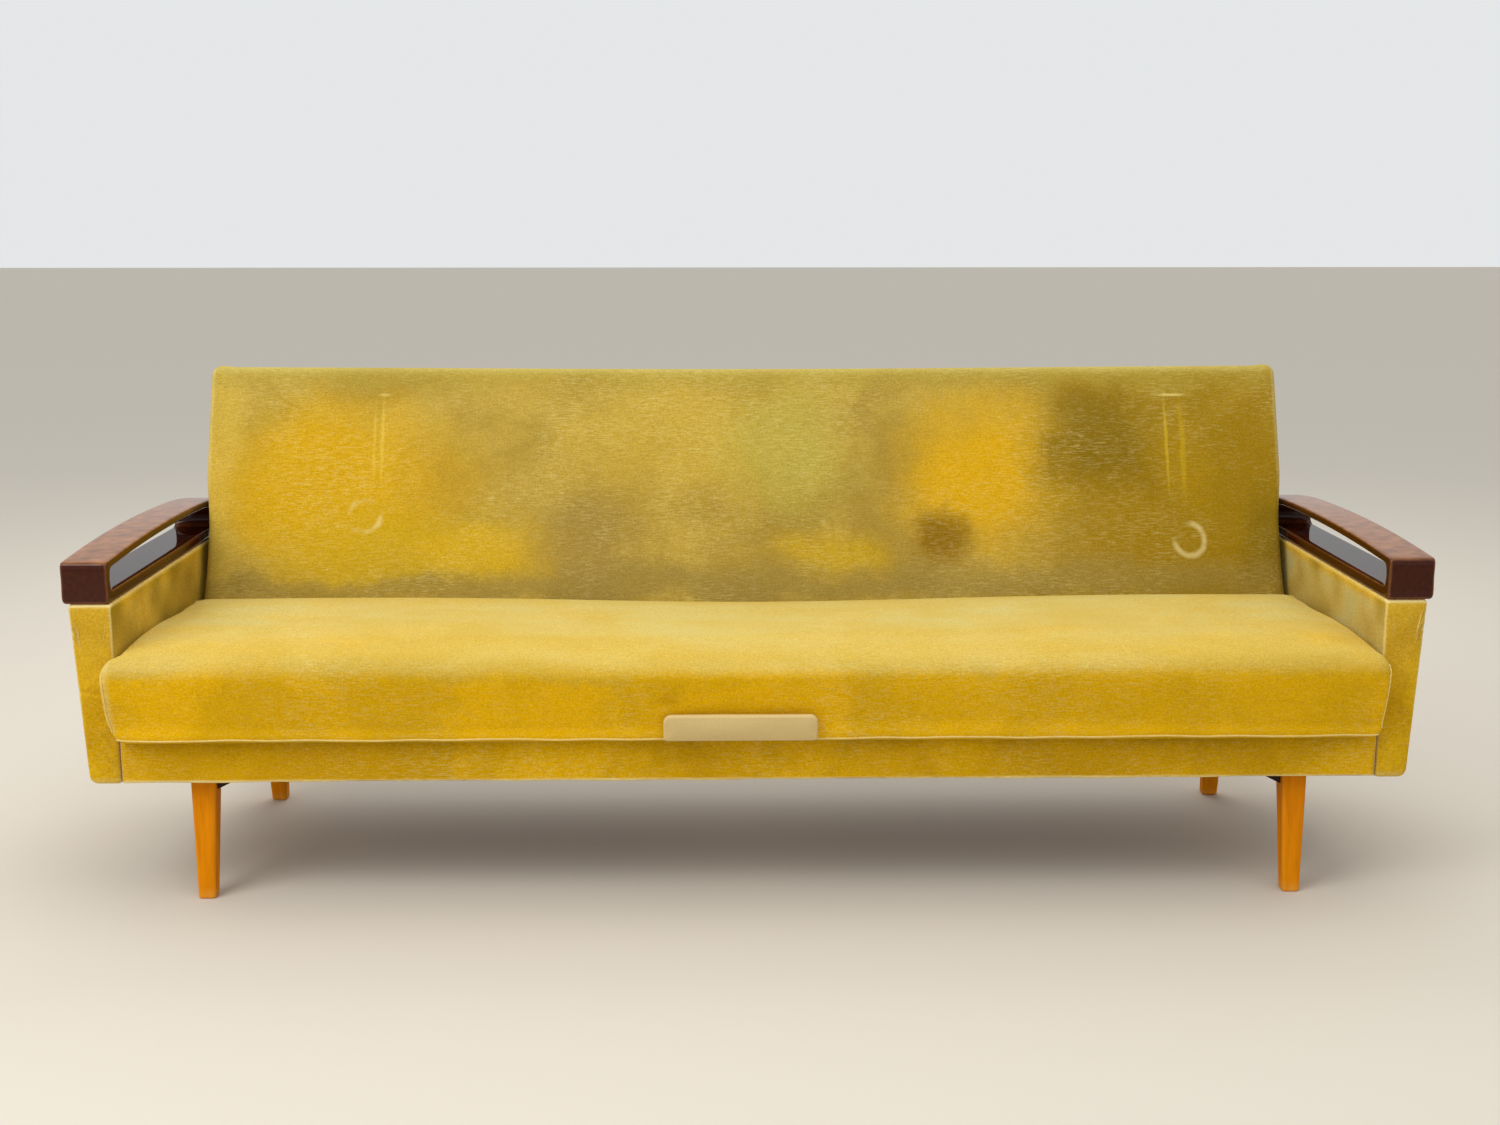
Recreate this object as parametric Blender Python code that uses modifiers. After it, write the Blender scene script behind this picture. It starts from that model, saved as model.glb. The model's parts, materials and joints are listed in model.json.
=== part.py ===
"""Sofa bed with tapered wooden legs, slotted wooden armrests and a back that folds down flat.

Metres, +Z up. X runs along the sofa and the front faces -Y. The world origin is on the floor
under the middle of the sofa's box. Every Y below is measured back from the front of the arms,
and the empty "arm_front" carries the shift from there to the world origin.
"""

import math

import bmesh
import bpy
from mathutils import Matrix, Vector

# ---- driving sizes -------------------------------------------------------------------------
GAP = 0.0003  # left between pieces that touch
RUNNING_GAP = 0.0004  # left between steel fittings that slide past each other

CLEAR_WIDTH = 1.950  # between the arm panels: the length of the bed
BASE_BOTTOM = 0.1965  # underside of the base box
BASE_HEIGHT = 0.0655  # apron and rails of the base box
RAIL_THICKNESS = 0.022
BASE_BEHIND_PIVOT = 0.1066  # from the pivots to the rear face of the base box
APRON_CLOTH = 0.0020
CROSS_RAIL_HEIGHT = 0.020
CROSS_RAIL_WIDTH = 0.080
FLOOR_THICKNESS = 0.004

ARM_TOP = 0.4777  # top of the upholstered arm panels
ARM_DROP = 0.003  # how far the arm panels reach below the base box
ARM_OVERHANG = 0.020  # how far they reach behind it
ARM_WIDTH_TOP = 0.066
ARM_WIDTH_BOTTOM = 0.050
ARM_CLOTH = 0.004

REST_OVERHANG = 0.007  # the armrest's length past the arm panel
REST_INSET = 0.0025  # from the arm panel's inner face to the armrest's
REST_WIDTH = 0.0675
REST_BULGE = 0.007  # sideways bow of the armrest's outer face
REST_ROUND_LENGTH = 0.075  # stretch at the rear over which the outer corner turns in
REST_ROUND_DEPTH = 0.028
REST_FRONT_HEIGHT = 0.065
REST_MIDDLE_HEIGHT = 0.0748
REST_REAR_HEIGHT = 0.067
REST_EDGE = 0.004
SLOT_RAIL = 0.0185  # wood under the slot
SLOT_BAR = 0.0135  # wood over the slot
SLOT_FRONT = 0.018
SLOT_REAR = 0.037  # wood behind the slot
SLOT_CORNER = 0.012
DOWEL_RADIUS = 0.005
DOWEL_LENGTH = 0.034
DOWEL_IN_REST = 0.013
DOWEL_INSET = 0.090  # from each end of the arm panel

LEG_TOP = 0.040
LEG_FOOT = 0.027
LEG_EDGE = 0.004
LEG_INSET = 0.116  # from the arm panel to the middle of the leg
FRONT_LEG_TOP_Y = 0.050
REAR_LEG_INSET = 0.100  # from the rear face of the base box to the leg's middle
LEG_SPLAY = 0.022  # foot ahead of, or behind, the leg's top
TENON_RADIUS = 0.011
TENON_LENGTH = 0.018
BRACE_LENGTH = 0.040
BRACE_HEIGHT = 0.023
BRACE_THICKNESS = 0.024
BRACE_TIP = 0.003

SEAT_DEPTH = 0.428  # from the arm front to the seat's rear face
SEAT_OVERHANG = 0.052  # how far its nose stands in front of the arms
SEAT_TUCK = 0.024  # how far the nose leans out over the bottom edge
SEAT_NOSE_DROP = 0.028  # nose below the bed level
SEAT_CROWN = 0.0085
SEAT_REAR_DROP = 0.014
SEAT_FRAME_HEIGHT = 0.030
SEAT_FRAME_WIDTH = 0.045
SEAT_FRONT_PAD = 0.016  # padding in front of the frame at the bottom edge
SEAT_SIDE_PAD = 0.008
SEAT_REAR_PAD = 0.0057
SPRING_WIRE = 0.0016  # radius
SPRING_SWAY = 0.022
SPRING_WAVES = 7
SPRING_COUNT = 5
SPRING_SPACING = 0.350
SPRING_INSET = 0.016  # spring ends, from the outer edges of the seat frame
DUST_CLOTH = 0.0015
TAB_WIDTH = 0.236
TAB_HEIGHT = 0.044
TAB_THICKNESS = 0.010
TAB_OFFSET = -0.018
TAB_CORNER = 0.010
TAB_RISE = 0.009

BACK_TILT = math.radians(21.13)  # from upright, at rest
BACK_LENGTH = 0.4880  # up the slope
BACK_THICKNESS = 0.120
BACK_PAD_DEPTH = 0.0517  # padding in front of the webbing
BACK_SIDE_PAD = 0.008
BACK_END_PAD = 0.012
BACK_FRAME_DEPTH = 0.052
BACK_FRAME_WIDTH = 0.045
BACK_SIDE_WIDTH = 0.022
WEB_WIDTH = 0.050
WEB_THICKNESS = 0.003
WEB_SPACING = 0.480
REAR_CLOTH = 0.0032
REAR_CLOTH_INSET = 0.003

PIVOT_BEHIND_FRONT = 0.0466  # pivot behind the back's front face
PIVOT_ABOVE_EDGE = 0.0404  # pivot above the back's lower edge, up the slope
SWING_CLEARANCE_SEAT = 0.0037
SWING_CLEARANCE_BASE = 0.0076

PLATE_THICKNESS = 0.0030
LINK_THICKNESS = 0.0025
PIVOT_RADIUS = 0.0050
PIVOT_IN_BOARD = 0.022
PIN_RADIUS = 0.0030
PIN_CLEARANCE = 0.0003
LINK_RADIUS = 0.014
SEAT_LINK_REACH = 0.158
SEAT_LINK_ABOVE_BASE = 0.019
BOSS_RADIUS = 0.010
BACK_LINK_UP = 0.150
BACK_LINK_REAR = 0.0194
RATCHET_RADIUS = 0.034
RATCHET_DEPTH = 0.004
RATCHET_STEPS = 6
PAWL_LENGTH = 0.032
PAWL_HUB = 0.006
PAWL_CLEARANCE = 0.0006
PAWL_TOOTH_HEIGHT = 0.0050
PAWL_TOOTH_HALF = 0.0020
PLATE_ABOVE_BASE = 0.006
PLATE_FRONT = 0.040  # hinge plate in front of and behind the pivot
PLATE_REAR = 0.050
PLATE_SHOULDER = 0.050
ROUND_SIDES = 16

# ---- sizes that follow ---------------------------------------------------------------------
HALF_CLEAR = CLEAR_WIDTH / 2
BASE_TOP = BASE_BOTTOM + BASE_HEIGHT

PLATE_OUT = HALF_CLEAR - GAP
PLATE_IN = PLATE_OUT - PLATE_THICKNESS
SEAT_LINK_OUT = PLATE_IN - RUNNING_GAP
SEAT_LINK_IN = SEAT_LINK_OUT - LINK_THICKNESS
BACK_LINK_OUT = SEAT_LINK_IN - RUNNING_GAP
BACK_LINK_IN = BACK_LINK_OUT - LINK_THICKNESS
HALF_CUSHION = BACK_LINK_IN - GAP

FRONT_SWEEP = math.hypot(PIVOT_BEHIND_FRONT, PIVOT_ABOVE_EDGE)
REAR_SWEEP = math.hypot(BACK_THICKNESS - PIVOT_BEHIND_FRONT, PIVOT_ABOVE_EDGE)
PIVOT_Y = SEAT_DEPTH + SWING_CLEARANCE_SEAT + FRONT_SWEEP
PIVOT_Z = BASE_TOP + SWING_CLEARANCE_BASE + REAR_SWEEP
BED_LEVEL = PIVOT_Z + PIVOT_BEHIND_FRONT
FOLD_ANGLE = math.pi / 2 - BACK_TILT

BASE_REAR = PIVOT_Y + BASE_BEHIND_PIVOT
ARM_DEPTH = BASE_REAR + ARM_OVERHANG
ARM_BOTTOM = BASE_BOTTOM - ARM_DROP
RAIL_FRONT = APRON_CLOTH + GAP
INNER_FRONT = RAIL_FRONT + RAIL_THICKNESS + GAP
INNER_REAR = BASE_REAR - RAIL_THICKNESS - GAP
HALF_INNER = PLATE_OUT - RAIL_THICKNESS - GAP
CROSS_RAIL_TOP = BASE_BOTTOM + CROSS_RAIL_HEIGHT
LEG_HEIGHT = BASE_BOTTOM - GAP
LEG_X = HALF_CLEAR - LEG_INSET
REAR_LEG_TOP_Y = BASE_REAR - REAR_LEG_INSET

SEAT_BOTTOM = BASE_TOP + GAP
SEAT_FRONT_BOTTOM = -SEAT_OVERHANG + SEAT_TUCK
SEAT_FRAME_FRONT = SEAT_FRONT_BOTTOM + SEAT_FRONT_PAD
SEAT_FRAME_REAR = SEAT_DEPTH - SEAT_REAR_PAD
SEAT_FRAME_TOP = SEAT_BOTTOM + SEAT_FRAME_HEIGHT
HALF_SEAT_FRAME = HALF_CUSHION - SEAT_SIDE_PAD
SPRING_LEVEL = SEAT_FRAME_TOP + GAP + SPRING_WIRE
SEAT_RECESS_TOP = SPRING_LEVEL + SPRING_WIRE + GAP

HALF_BACK_FRAME = HALF_CUSHION - BACK_SIDE_PAD
WEB_FRONT = BACK_PAD_DEPTH + GAP
BACK_FRAME_FRONT = WEB_FRONT + WEB_THICKNESS + GAP
BACK_FRAME_REAR = BACK_FRAME_FRONT + BACK_FRAME_DEPTH
BACK_PAD_REAR = BACK_THICKNESS - REAR_CLOTH - GAP

REAR_EDGE_Y = (
    PIVOT_Y
    + (BACK_LENGTH - REAR_CLOTH_INSET - PIVOT_ABOVE_EDGE) * math.sin(BACK_TILT)
    + (BACK_THICKNESS - PIVOT_BEHIND_FRONT) * math.cos(BACK_TILT)
)
MIDDLE_Y = (REAR_EDGE_Y - SEAT_OVERHANG) / 2

# ---- colours -------------------------------------------------------------------------------
VELVET = ("old_gold_velvet", (0.52, 0.36, 0.03), 0.85, 0.0)
TAB_CLOTH = ("beige_tab_cloth", (0.56, 0.42, 0.22), 0.90, 0.0)
DARK_LACQUER = ("brown_lacquered_beech", (0.07, 0.018, 0.006), 0.18, 0.0)
HONEY_BEECH = ("honey_beech", (0.58, 0.20, 0.015), 0.35, 0.0)
PLAIN_PINE = ("sawn_pine", (0.55, 0.38, 0.20), 0.70, 0.0)
HARDBOARD = ("hardboard", (0.22, 0.12, 0.06), 0.75, 0.0)
DARK_CLOTH = ("black_dust_cloth", (0.02, 0.02, 0.02), 0.90, 0.0)
JUTE = ("jute_webbing", (0.38, 0.26, 0.13), 0.90, 0.0)
SPRING_STEEL = ("spring_steel", (0.25, 0.25, 0.26), 0.40, 1.0)
ZINC_STEEL = ("zinc_plated_steel", (0.50, 0.50, 0.50), 0.35, 1.0)

SIDES = {"left": -1, "right": 1}


class Group:
    """An empty that a set of pieces hangs from, and the point that its coordinates start at."""

    def __init__(self, name, anchor, parent=None, location=(0, 0, 0), tilt=0.0):
        self.anchor = Vector((0, anchor[0], anchor[1]))
        self.empty = bpy.data.objects.new(name, None)
        self.empty.empty_display_size = 0.05
        self.empty.parent = parent.empty if parent else None
        self.empty.location = location
        self.empty.rotation_euler = (-tilt, 0, 0)
        PARTS.objects.link(self.empty)


def clear_scene():
    for item in list(bpy.data.objects):
        bpy.data.objects.remove(item, do_unlink=True)


def new_collection(name):
    group = bpy.data.collections.new(name)
    bpy.context.scene.collection.children.link(group)
    return group


def material(finish):
    name, colour, roughness, metallic = finish
    found = bpy.data.materials.get(name)
    if found:
        return found
    made = bpy.data.materials.new(name)
    made.use_nodes = True
    shader = made.node_tree.nodes["Principled BSDF"]
    shader.inputs["Base Color"].default_value = (*colour, 1)
    shader.inputs["Roughness"].default_value = roughness
    shader.inputs["Metallic"].default_value = metallic
    made.diffuse_color = (*colour, 1)
    return made


def add_piece(name, data, finish, group, centre, rotation=(0, 0, 0)):
    """Link an object at a place given in its group's coordinates."""
    data.materials.append(material(finish))
    piece = bpy.data.objects.new(name, data)
    piece.parent = group.empty
    piece.location = Vector(centre) - group.anchor
    piece.rotation_euler = rotation
    PARTS.objects.link(piece)
    return piece


def bevel(piece, width, segments=2):
    rounding = piece.modifiers.new("edges", "BEVEL")
    rounding.width = width
    rounding.segments = segments
    rounding.limit_method = "ANGLE"
    rounding.angle_limit = math.radians(50)


def box(name, low, high, finish, group, edge=0.0):
    """A box between two corners given in the group's coordinates."""
    bm = bmesh.new()
    bmesh.ops.create_cube(bm, size=1.0)
    size = Vector(high) - Vector(low)
    bmesh.ops.scale(bm, vec=size, verts=bm.verts)
    mesh = bpy.data.meshes.new(name)
    bm.to_mesh(mesh)
    bm.free()
    piece = add_piece(name, mesh, finish, group, (Vector(high) + Vector(low)) / 2)
    if edge:
        bevel(piece, edge)
    return piece


def tapered_block(name, foot, top, heights, finish, group):
    """A block from one horizontal rectangle (x0, x1, y0, y1) up to another."""
    bm = bmesh.new()
    bmesh.ops.create_cube(bm, size=1.0)
    for vertex in bm.verts:
        x0, x1, y0, y1 = top if vertex.co.z > 0 else foot
        vertex.co.x = x1 if vertex.co.x > 0 else x0
        vertex.co.y = y1 if vertex.co.y > 0 else y0
        vertex.co.z = heights[1] if vertex.co.z > 0 else heights[0]
    mesh = bpy.data.meshes.new(name)
    bm.to_mesh(mesh)
    bm.free()
    return add_piece(name, mesh, finish, group, (0, 0, 0))


def rod(name, radius, start, end, finish, group, sides=ROUND_SIDES):
    """A round bar between two points."""
    start = Vector(start)
    end = Vector(end)
    bm = bmesh.new()
    bmesh.ops.create_cone(
        bm,
        cap_ends=True,
        segments=sides,
        radius1=radius,
        radius2=radius,
        depth=(end - start).length,
    )
    turn = (end - start).to_track_quat("Z", "Y").to_matrix()
    bmesh.ops.rotate(bm, cent=(0, 0, 0), matrix=turn, verts=bm.verts)
    mesh = bpy.data.meshes.new(name)
    bm.to_mesh(mesh)
    bm.free()
    mesh.shade_smooth()
    mesh.set_sharp_from_angle(angle=math.radians(40))
    return add_piece(name, mesh, finish, group, (start + end) / 2)


def flat_shape(name, loops, x_range, finish, group):
    """Closed loops of (y, z) points filled and extruded along X. Inner loops are holes."""
    curve = bpy.data.curves.new(name, "CURVE")
    curve.dimensions = "2D"
    curve.fill_mode = "BOTH"
    curve.extrude = abs(x_range[1] - x_range[0]) / 2
    for loop in loops:
        spline = curve.splines.new("POLY")
        spline.points.add(len(loop) - 1)
        for point, (y, z) in zip(spline.points, loop):
            point.co = (y, z, 0, 1)
        spline.use_cyclic_u = True
    middle = sum(x_range) / 2
    return add_piece(name, curve, finish, group, (middle, 0, 0), (math.pi / 2, 0, math.pi / 2))


def made_mesh(curve_piece):
    """The mesh piece that stands in for a curve piece, with its caps welded."""
    bpy.context.view_layer.update()
    depsgraph = bpy.context.evaluated_depsgraph_get()
    mesh = bpy.data.meshes.new_from_object(curve_piece.evaluated_get(depsgraph))
    bm = bmesh.new()
    bm.from_mesh(mesh)
    bmesh.ops.remove_doubles(bm, verts=bm.verts, dist=0.00001)
    bmesh.ops.recalc_face_normals(bm, faces=bm.faces)
    bm.to_mesh(mesh)
    bm.free()
    name = curve_piece.name
    curve_piece.name = name + "_outline"
    piece = bpy.data.objects.new(name, mesh)
    piece.parent = curve_piece.parent
    piece.location = curve_piece.location
    piece.rotation_euler = curve_piece.rotation_euler
    PARTS.objects.link(piece)
    bpy.data.objects.remove(curve_piece, do_unlink=True)
    return piece


def combine(piece, tool, operation):
    """Cut a tool out of a piece, or join it on, with an exact Boolean."""
    PARTS.objects.unlink(tool)
    CUTTERS.objects.link(tool)
    tool.hide_render = True
    tool.display_type = "WIRE"
    step = piece.modifiers.new(tool.name, "BOOLEAN")
    step.operation = operation
    step.solver = "EXACT"
    step.object = tool


def arc(centre, radius, start, end, steps):
    """Points on a circle from one angle to another, in degrees."""
    points = []
    for index in range(steps + 1):
        angle = math.radians(start + (end - start) * index / steps)
        points.append((centre[0] + radius * math.cos(angle), centre[1] + radius * math.sin(angle)))
    return points


def circle(centre, radius):
    return arc(centre, radius, 0, 360, ROUND_SIDES)[:-1]


def filleted(corners, steps=4):
    """Round each (y, z, radius) corner of a closed outline."""
    points = []
    count = len(corners)
    for index, (y, z, radius) in enumerate(corners):
        here = Vector((y, z))
        before = (Vector(corners[index - 1][:2]) - here).normalized()
        after = (Vector(corners[(index + 1) % count][:2]) - here).normalized()
        half = before.angle(after) / 2
        if radius == 0 or half > math.radians(89.9):
            points.append((y, z))
            continue
        reach = radius / math.tan(half)
        first = here + before * reach
        last = here + after * reach
        middle = here + (before + after).normalized() * (radius / math.sin(half))
        spoke = first - middle
        turn = spoke.angle_signed(last - middle)
        for step in range(steps + 1):
            spin = Matrix.Rotation(-turn * step / steps, 2)
            points.append(tuple(middle + spin @ spoke))
    return points


def link_outline(first, second, radius, steps=8):
    """The outline of a flat bar with a round end about each of two points."""
    heading = math.degrees(math.atan2(second[1] - first[1], second[0] - first[0]))
    far_end = arc(second, radius, heading - 90, heading + 90, steps)
    near_end = arc(first, radius, heading + 90, heading + 270, steps)
    return far_end + near_end


# ---- base box ------------------------------------------------------------------------------
def build_base(base):
    box("base_rail_front", (-PLATE_OUT, RAIL_FRONT, BASE_BOTTOM),
        (PLATE_OUT, RAIL_FRONT + RAIL_THICKNESS, BASE_TOP), PLAIN_PINE, base)
    box("base_rail_rear", (-PLATE_OUT, BASE_REAR - RAIL_THICKNESS, BASE_BOTTOM),
        (PLATE_OUT, BASE_REAR, BASE_TOP), PLAIN_PINE, base)
    for side, sign in SIDES.items():
        ends = sorted((sign * PLATE_OUT, sign * (PLATE_OUT - RAIL_THICKNESS)))
        box("base_rail_" + side, (ends[0], INNER_FRONT, BASE_BOTTOM),
            (ends[1], INNER_REAR, BASE_TOP), PLAIN_PINE, base)
        add_cross_rail("leg_rail_" + side, sign * LEG_X, base, sign)
    add_cross_rail("base_rail_middle", 0, base, 0)
    box("bedding_floor", (-HALF_INNER, INNER_FRONT, CROSS_RAIL_TOP + GAP),
        (HALF_INNER, INNER_REAR, CROSS_RAIL_TOP + GAP + FLOOR_THICKNESS), HARDBOARD, base)
    box("apron_cover", (-PLATE_OUT, 0, BASE_BOTTOM),
        (PLATE_OUT, APRON_CLOTH, BASE_TOP), VELVET, base)


def add_cross_rail(name, middle, base, sign):
    """A rail from front to back under the floor. The outer two are bored for the leg tenons."""
    rail = box(name, (middle - CROSS_RAIL_WIDTH / 2, INNER_FRONT, BASE_BOTTOM),
               (middle + CROSS_RAIL_WIDTH / 2, INNER_REAR, CROSS_RAIL_TOP), PLAIN_PINE, base)
    if sign:
        for place in (FRONT_LEG_TOP_Y, REAR_LEG_TOP_Y):
            bore = rod(f"{name}_bore", TENON_RADIUS + GAP, (middle, place, BASE_BOTTOM - GAP),
                       (middle, place, BASE_BOTTOM + TENON_LENGTH + GAP), PLAIN_PINE, base)
            combine(rail, bore, "DIFFERENCE")


# ---- legs ----------------------------------------------------------------------------------
def build_legs(base):
    ends = {"front": (FRONT_LEG_TOP_Y, -LEG_SPLAY), "rear": (REAR_LEG_TOP_Y, LEG_SPLAY)}
    for side, sign in SIDES.items():
        for end, (top_y, splay) in ends.items():
            add_leg(f"leg_{end}_{side}", sign * LEG_X, top_y, splay, base)
            add_brace(f"leg_brace_{end}_{side}", sign, top_y, base)


def square(x, y, size):
    return (x - size / 2, x + size / 2, y - size / 2, y + size / 2)


def add_leg(name, x, top_y, splay, base):
    """A square tapered leg with a round tenon on top."""
    leg = tapered_block(name, square(x, top_y + splay, LEG_FOOT), square(x, top_y, LEG_TOP),
                        (0, LEG_HEIGHT), HONEY_BEECH, base)
    bevel(leg, LEG_EDGE)
    tenon = rod(name + "_tenon", TENON_RADIUS, (x, top_y, LEG_HEIGHT - TENON_LENGTH),
                (x, top_y, LEG_HEIGHT + TENON_LENGTH), HONEY_BEECH, base)
    combine(leg, tenon, "UNION")


def add_brace(name, sign, leg_y, base):
    """A three-cornered block between the leg and the underside of the base."""
    outer = LEG_X - LEG_TOP / 2 - GAP
    inner = outer - BRACE_LENGTH
    corners = [
        (outer, LEG_HEIGHT),
        (inner, LEG_HEIGHT),
        (inner, LEG_HEIGHT - BRACE_TIP),
        (outer, LEG_HEIGHT - BRACE_HEIGHT),
    ]
    curve = bpy.data.curves.new(name, "CURVE")
    curve.dimensions = "2D"
    curve.fill_mode = "BOTH"
    curve.extrude = BRACE_THICKNESS / 2
    spline = curve.splines.new("POLY")
    spline.points.add(len(corners) - 1)
    for point, (x, z) in zip(spline.points, corners):
        point.co = (sign * x, z, 0, 1)
    spline.use_cyclic_u = True
    add_piece(name, curve, DARK_LACQUER, base, (0, leg_y, 0), (math.pi / 2, 0, 0))


# ---- arms ----------------------------------------------------------------------------------
def arm_section(sign, margin, y_range):
    """The arm panel's bottom and top rectangles, drawn in from its outside by a margin."""
    inner = HALF_CLEAR + margin
    sections = []
    for width in (ARM_WIDTH_BOTTOM, ARM_WIDTH_TOP):
        edges = sorted((sign * inner, sign * (HALF_CLEAR + width - margin)))
        sections.append((*edges, *y_range))
    return sections


def build_arms(base):
    for side, sign in SIDES.items():
        board_range = (ARM_CLOTH, ARM_DEPTH - ARM_CLOTH)
        foot, top = arm_section(sign, ARM_CLOTH, board_range)
        board = tapered_block("arm_board_" + side, foot, top,
                              (ARM_BOTTOM + ARM_CLOTH, ARM_TOP), PLAIN_PINE, base)

        foot, top = arm_section(sign, 0, (0, ARM_DEPTH))
        cover = tapered_block("arm_cover_" + side, foot, top, (ARM_BOTTOM, ARM_TOP), VELVET, base)
        wall = ARM_CLOTH - GAP
        foot, top = arm_section(sign, wall, (wall, ARM_DEPTH - wall))
        hollow = tapered_block(f"arm_hollow_{side}", foot, top,
                               (ARM_BOTTOM + wall, ARM_TOP + GAP), VELVET, base)
        combine(cover, hollow, "DIFFERENCE")

        bore = rod(f"pivot_bore_{side}", PIVOT_RADIUS + GAP, (sign * PLATE_OUT, PIVOT_Y, PIVOT_Z),
                   (sign * (HALF_CLEAR + PIVOT_IN_BOARD + GAP), PIVOT_Y, PIVOT_Z), PLAIN_PINE, base)
        combine(cover, bore, "DIFFERENCE")
        bore_in_board = board.modifiers.new("pivot_bore", "BOOLEAN")
        bore_in_board.object = bore
        rest = add_armrest(side, sign, base)
        add_dowels(side, sign, board, rest, base)


def rest_height(y, length):
    """Height of the armrest's arched top above its underside."""
    share = y / length
    crown = 2 * REST_MIDDLE_HEIGHT - (REST_FRONT_HEIGHT + REST_REAR_HEIGHT) / 2
    return ((1 - share) ** 2 * REST_FRONT_HEIGHT
            + 2 * share * (1 - share) * crown
            + share ** 2 * REST_REAR_HEIGHT)


def rest_outer_face(y, length):
    """X of the armrest's outer face, bowed outwards and turned in at the rear corner."""
    bow = REST_BULGE * math.sin(math.pi * min(y / length, 1))
    turn = max(0, y - (length - REST_ROUND_LENGTH)) / REST_ROUND_LENGTH
    drop = REST_ROUND_DEPTH * (1 - math.sqrt(max(0, 1 - turn * turn)))
    return HALF_CLEAR + REST_INSET + REST_WIDTH + bow - drop


def add_armrest(side, sign, base):
    """A wooden armrest with an arched top, a long slot and a bowed outer face."""
    length = ARM_DEPTH + REST_OVERHANG
    bottom = ARM_TOP + GAP
    straight = length - REST_ROUND_LENGTH
    stations = [straight * step / 10 for step in range(11)]
    for step in (1, 2, 3, 4):
        stations.append(straight + REST_ROUND_LENGTH * math.sin(math.pi / 2 * step / 4))
    outer = [(y, bottom) for y in stations]
    outer += [(y, bottom + rest_height(y, length)) for y in reversed(stations)]

    slot_low = bottom + SLOT_RAIL
    slot_start = SLOT_FRONT
    slot_end = length - SLOT_REAR
    ends = (slot_start + SLOT_CORNER, slot_end - SLOT_CORNER)
    between = [y for y in stations if ends[0] < y < ends[1]]
    ceiling = {y: bottom + rest_height(y, length) - SLOT_BAR for y in (*between, *ends)}
    slot = arc((ends[0], slot_low + SLOT_CORNER), SLOT_CORNER, 180, 270, 4)
    slot += [(y, slot_low) for y in between]
    slot += arc((ends[1], slot_low + SLOT_CORNER), SLOT_CORNER, 270, 360, 4)
    slot += arc((ends[1], ceiling[ends[1]] - SLOT_CORNER), SLOT_CORNER, 0, 90, 4)
    slot += [(y, ceiling[y]) for y in reversed(between)]
    slot += arc((ends[0], ceiling[ends[0]] - SLOT_CORNER), SLOT_CORNER, 90, 180, 4)

    bm = bmesh.new()
    for loop in (outer, slot):
        ring = [bm.verts.new((0, y, z)) for y, z in loop]
        for index, vertex in enumerate(ring):
            bm.edges.new((ring[index - 1], vertex))
    bmesh.ops.bridge_loops(bm, edges=bm.edges[:])
    extruded = bmesh.ops.extrude_face_region(bm, geom=bm.faces[:])["geom"]
    far_side = {item for item in extruded if isinstance(item, bmesh.types.BMVert)}
    for vertex in bm.verts:
        x = rest_outer_face(vertex.co.y, length) if vertex in far_side else HALF_CLEAR + REST_INSET
        vertex.co.x = sign * x
    bmesh.ops.recalc_face_normals(bm, faces=bm.faces)
    mesh = bpy.data.meshes.new("armrest_" + side)
    bm.to_mesh(mesh)
    bm.free()
    rest = add_piece("armrest_" + side, mesh, DARK_LACQUER, base, (0, 0, 0))
    bevel(rest, REST_EDGE)
    return rest


def add_dowels(side, sign, board, rest, base):
    """Two wooden dowels that pin the armrest to the arm board, in bored holes."""
    x = sign * (HALF_CLEAR + ARM_WIDTH_TOP / 2)
    top = ARM_TOP + GAP + DOWEL_IN_REST
    for end, y in (("front", DOWEL_INSET), ("rear", ARM_DEPTH - DOWEL_INSET)):
        bore = rod(f"dowel_bore_{end}_{side}", DOWEL_RADIUS + GAP, (x, y, top - DOWEL_LENGTH - GAP),
                   (x, y, top + GAP), HONEY_BEECH, base)
        combine(board, bore, "DIFFERENCE")
        bore_in_rest = rest.modifiers.new("dowel_bore", "BOOLEAN")
        bore_in_rest.object = bore
        rod(f"armrest_dowel_{end}_{side}", DOWEL_RADIUS, (x, y, top - DOWEL_LENGTH),
            (x, y, top), HONEY_BEECH, base)


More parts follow.
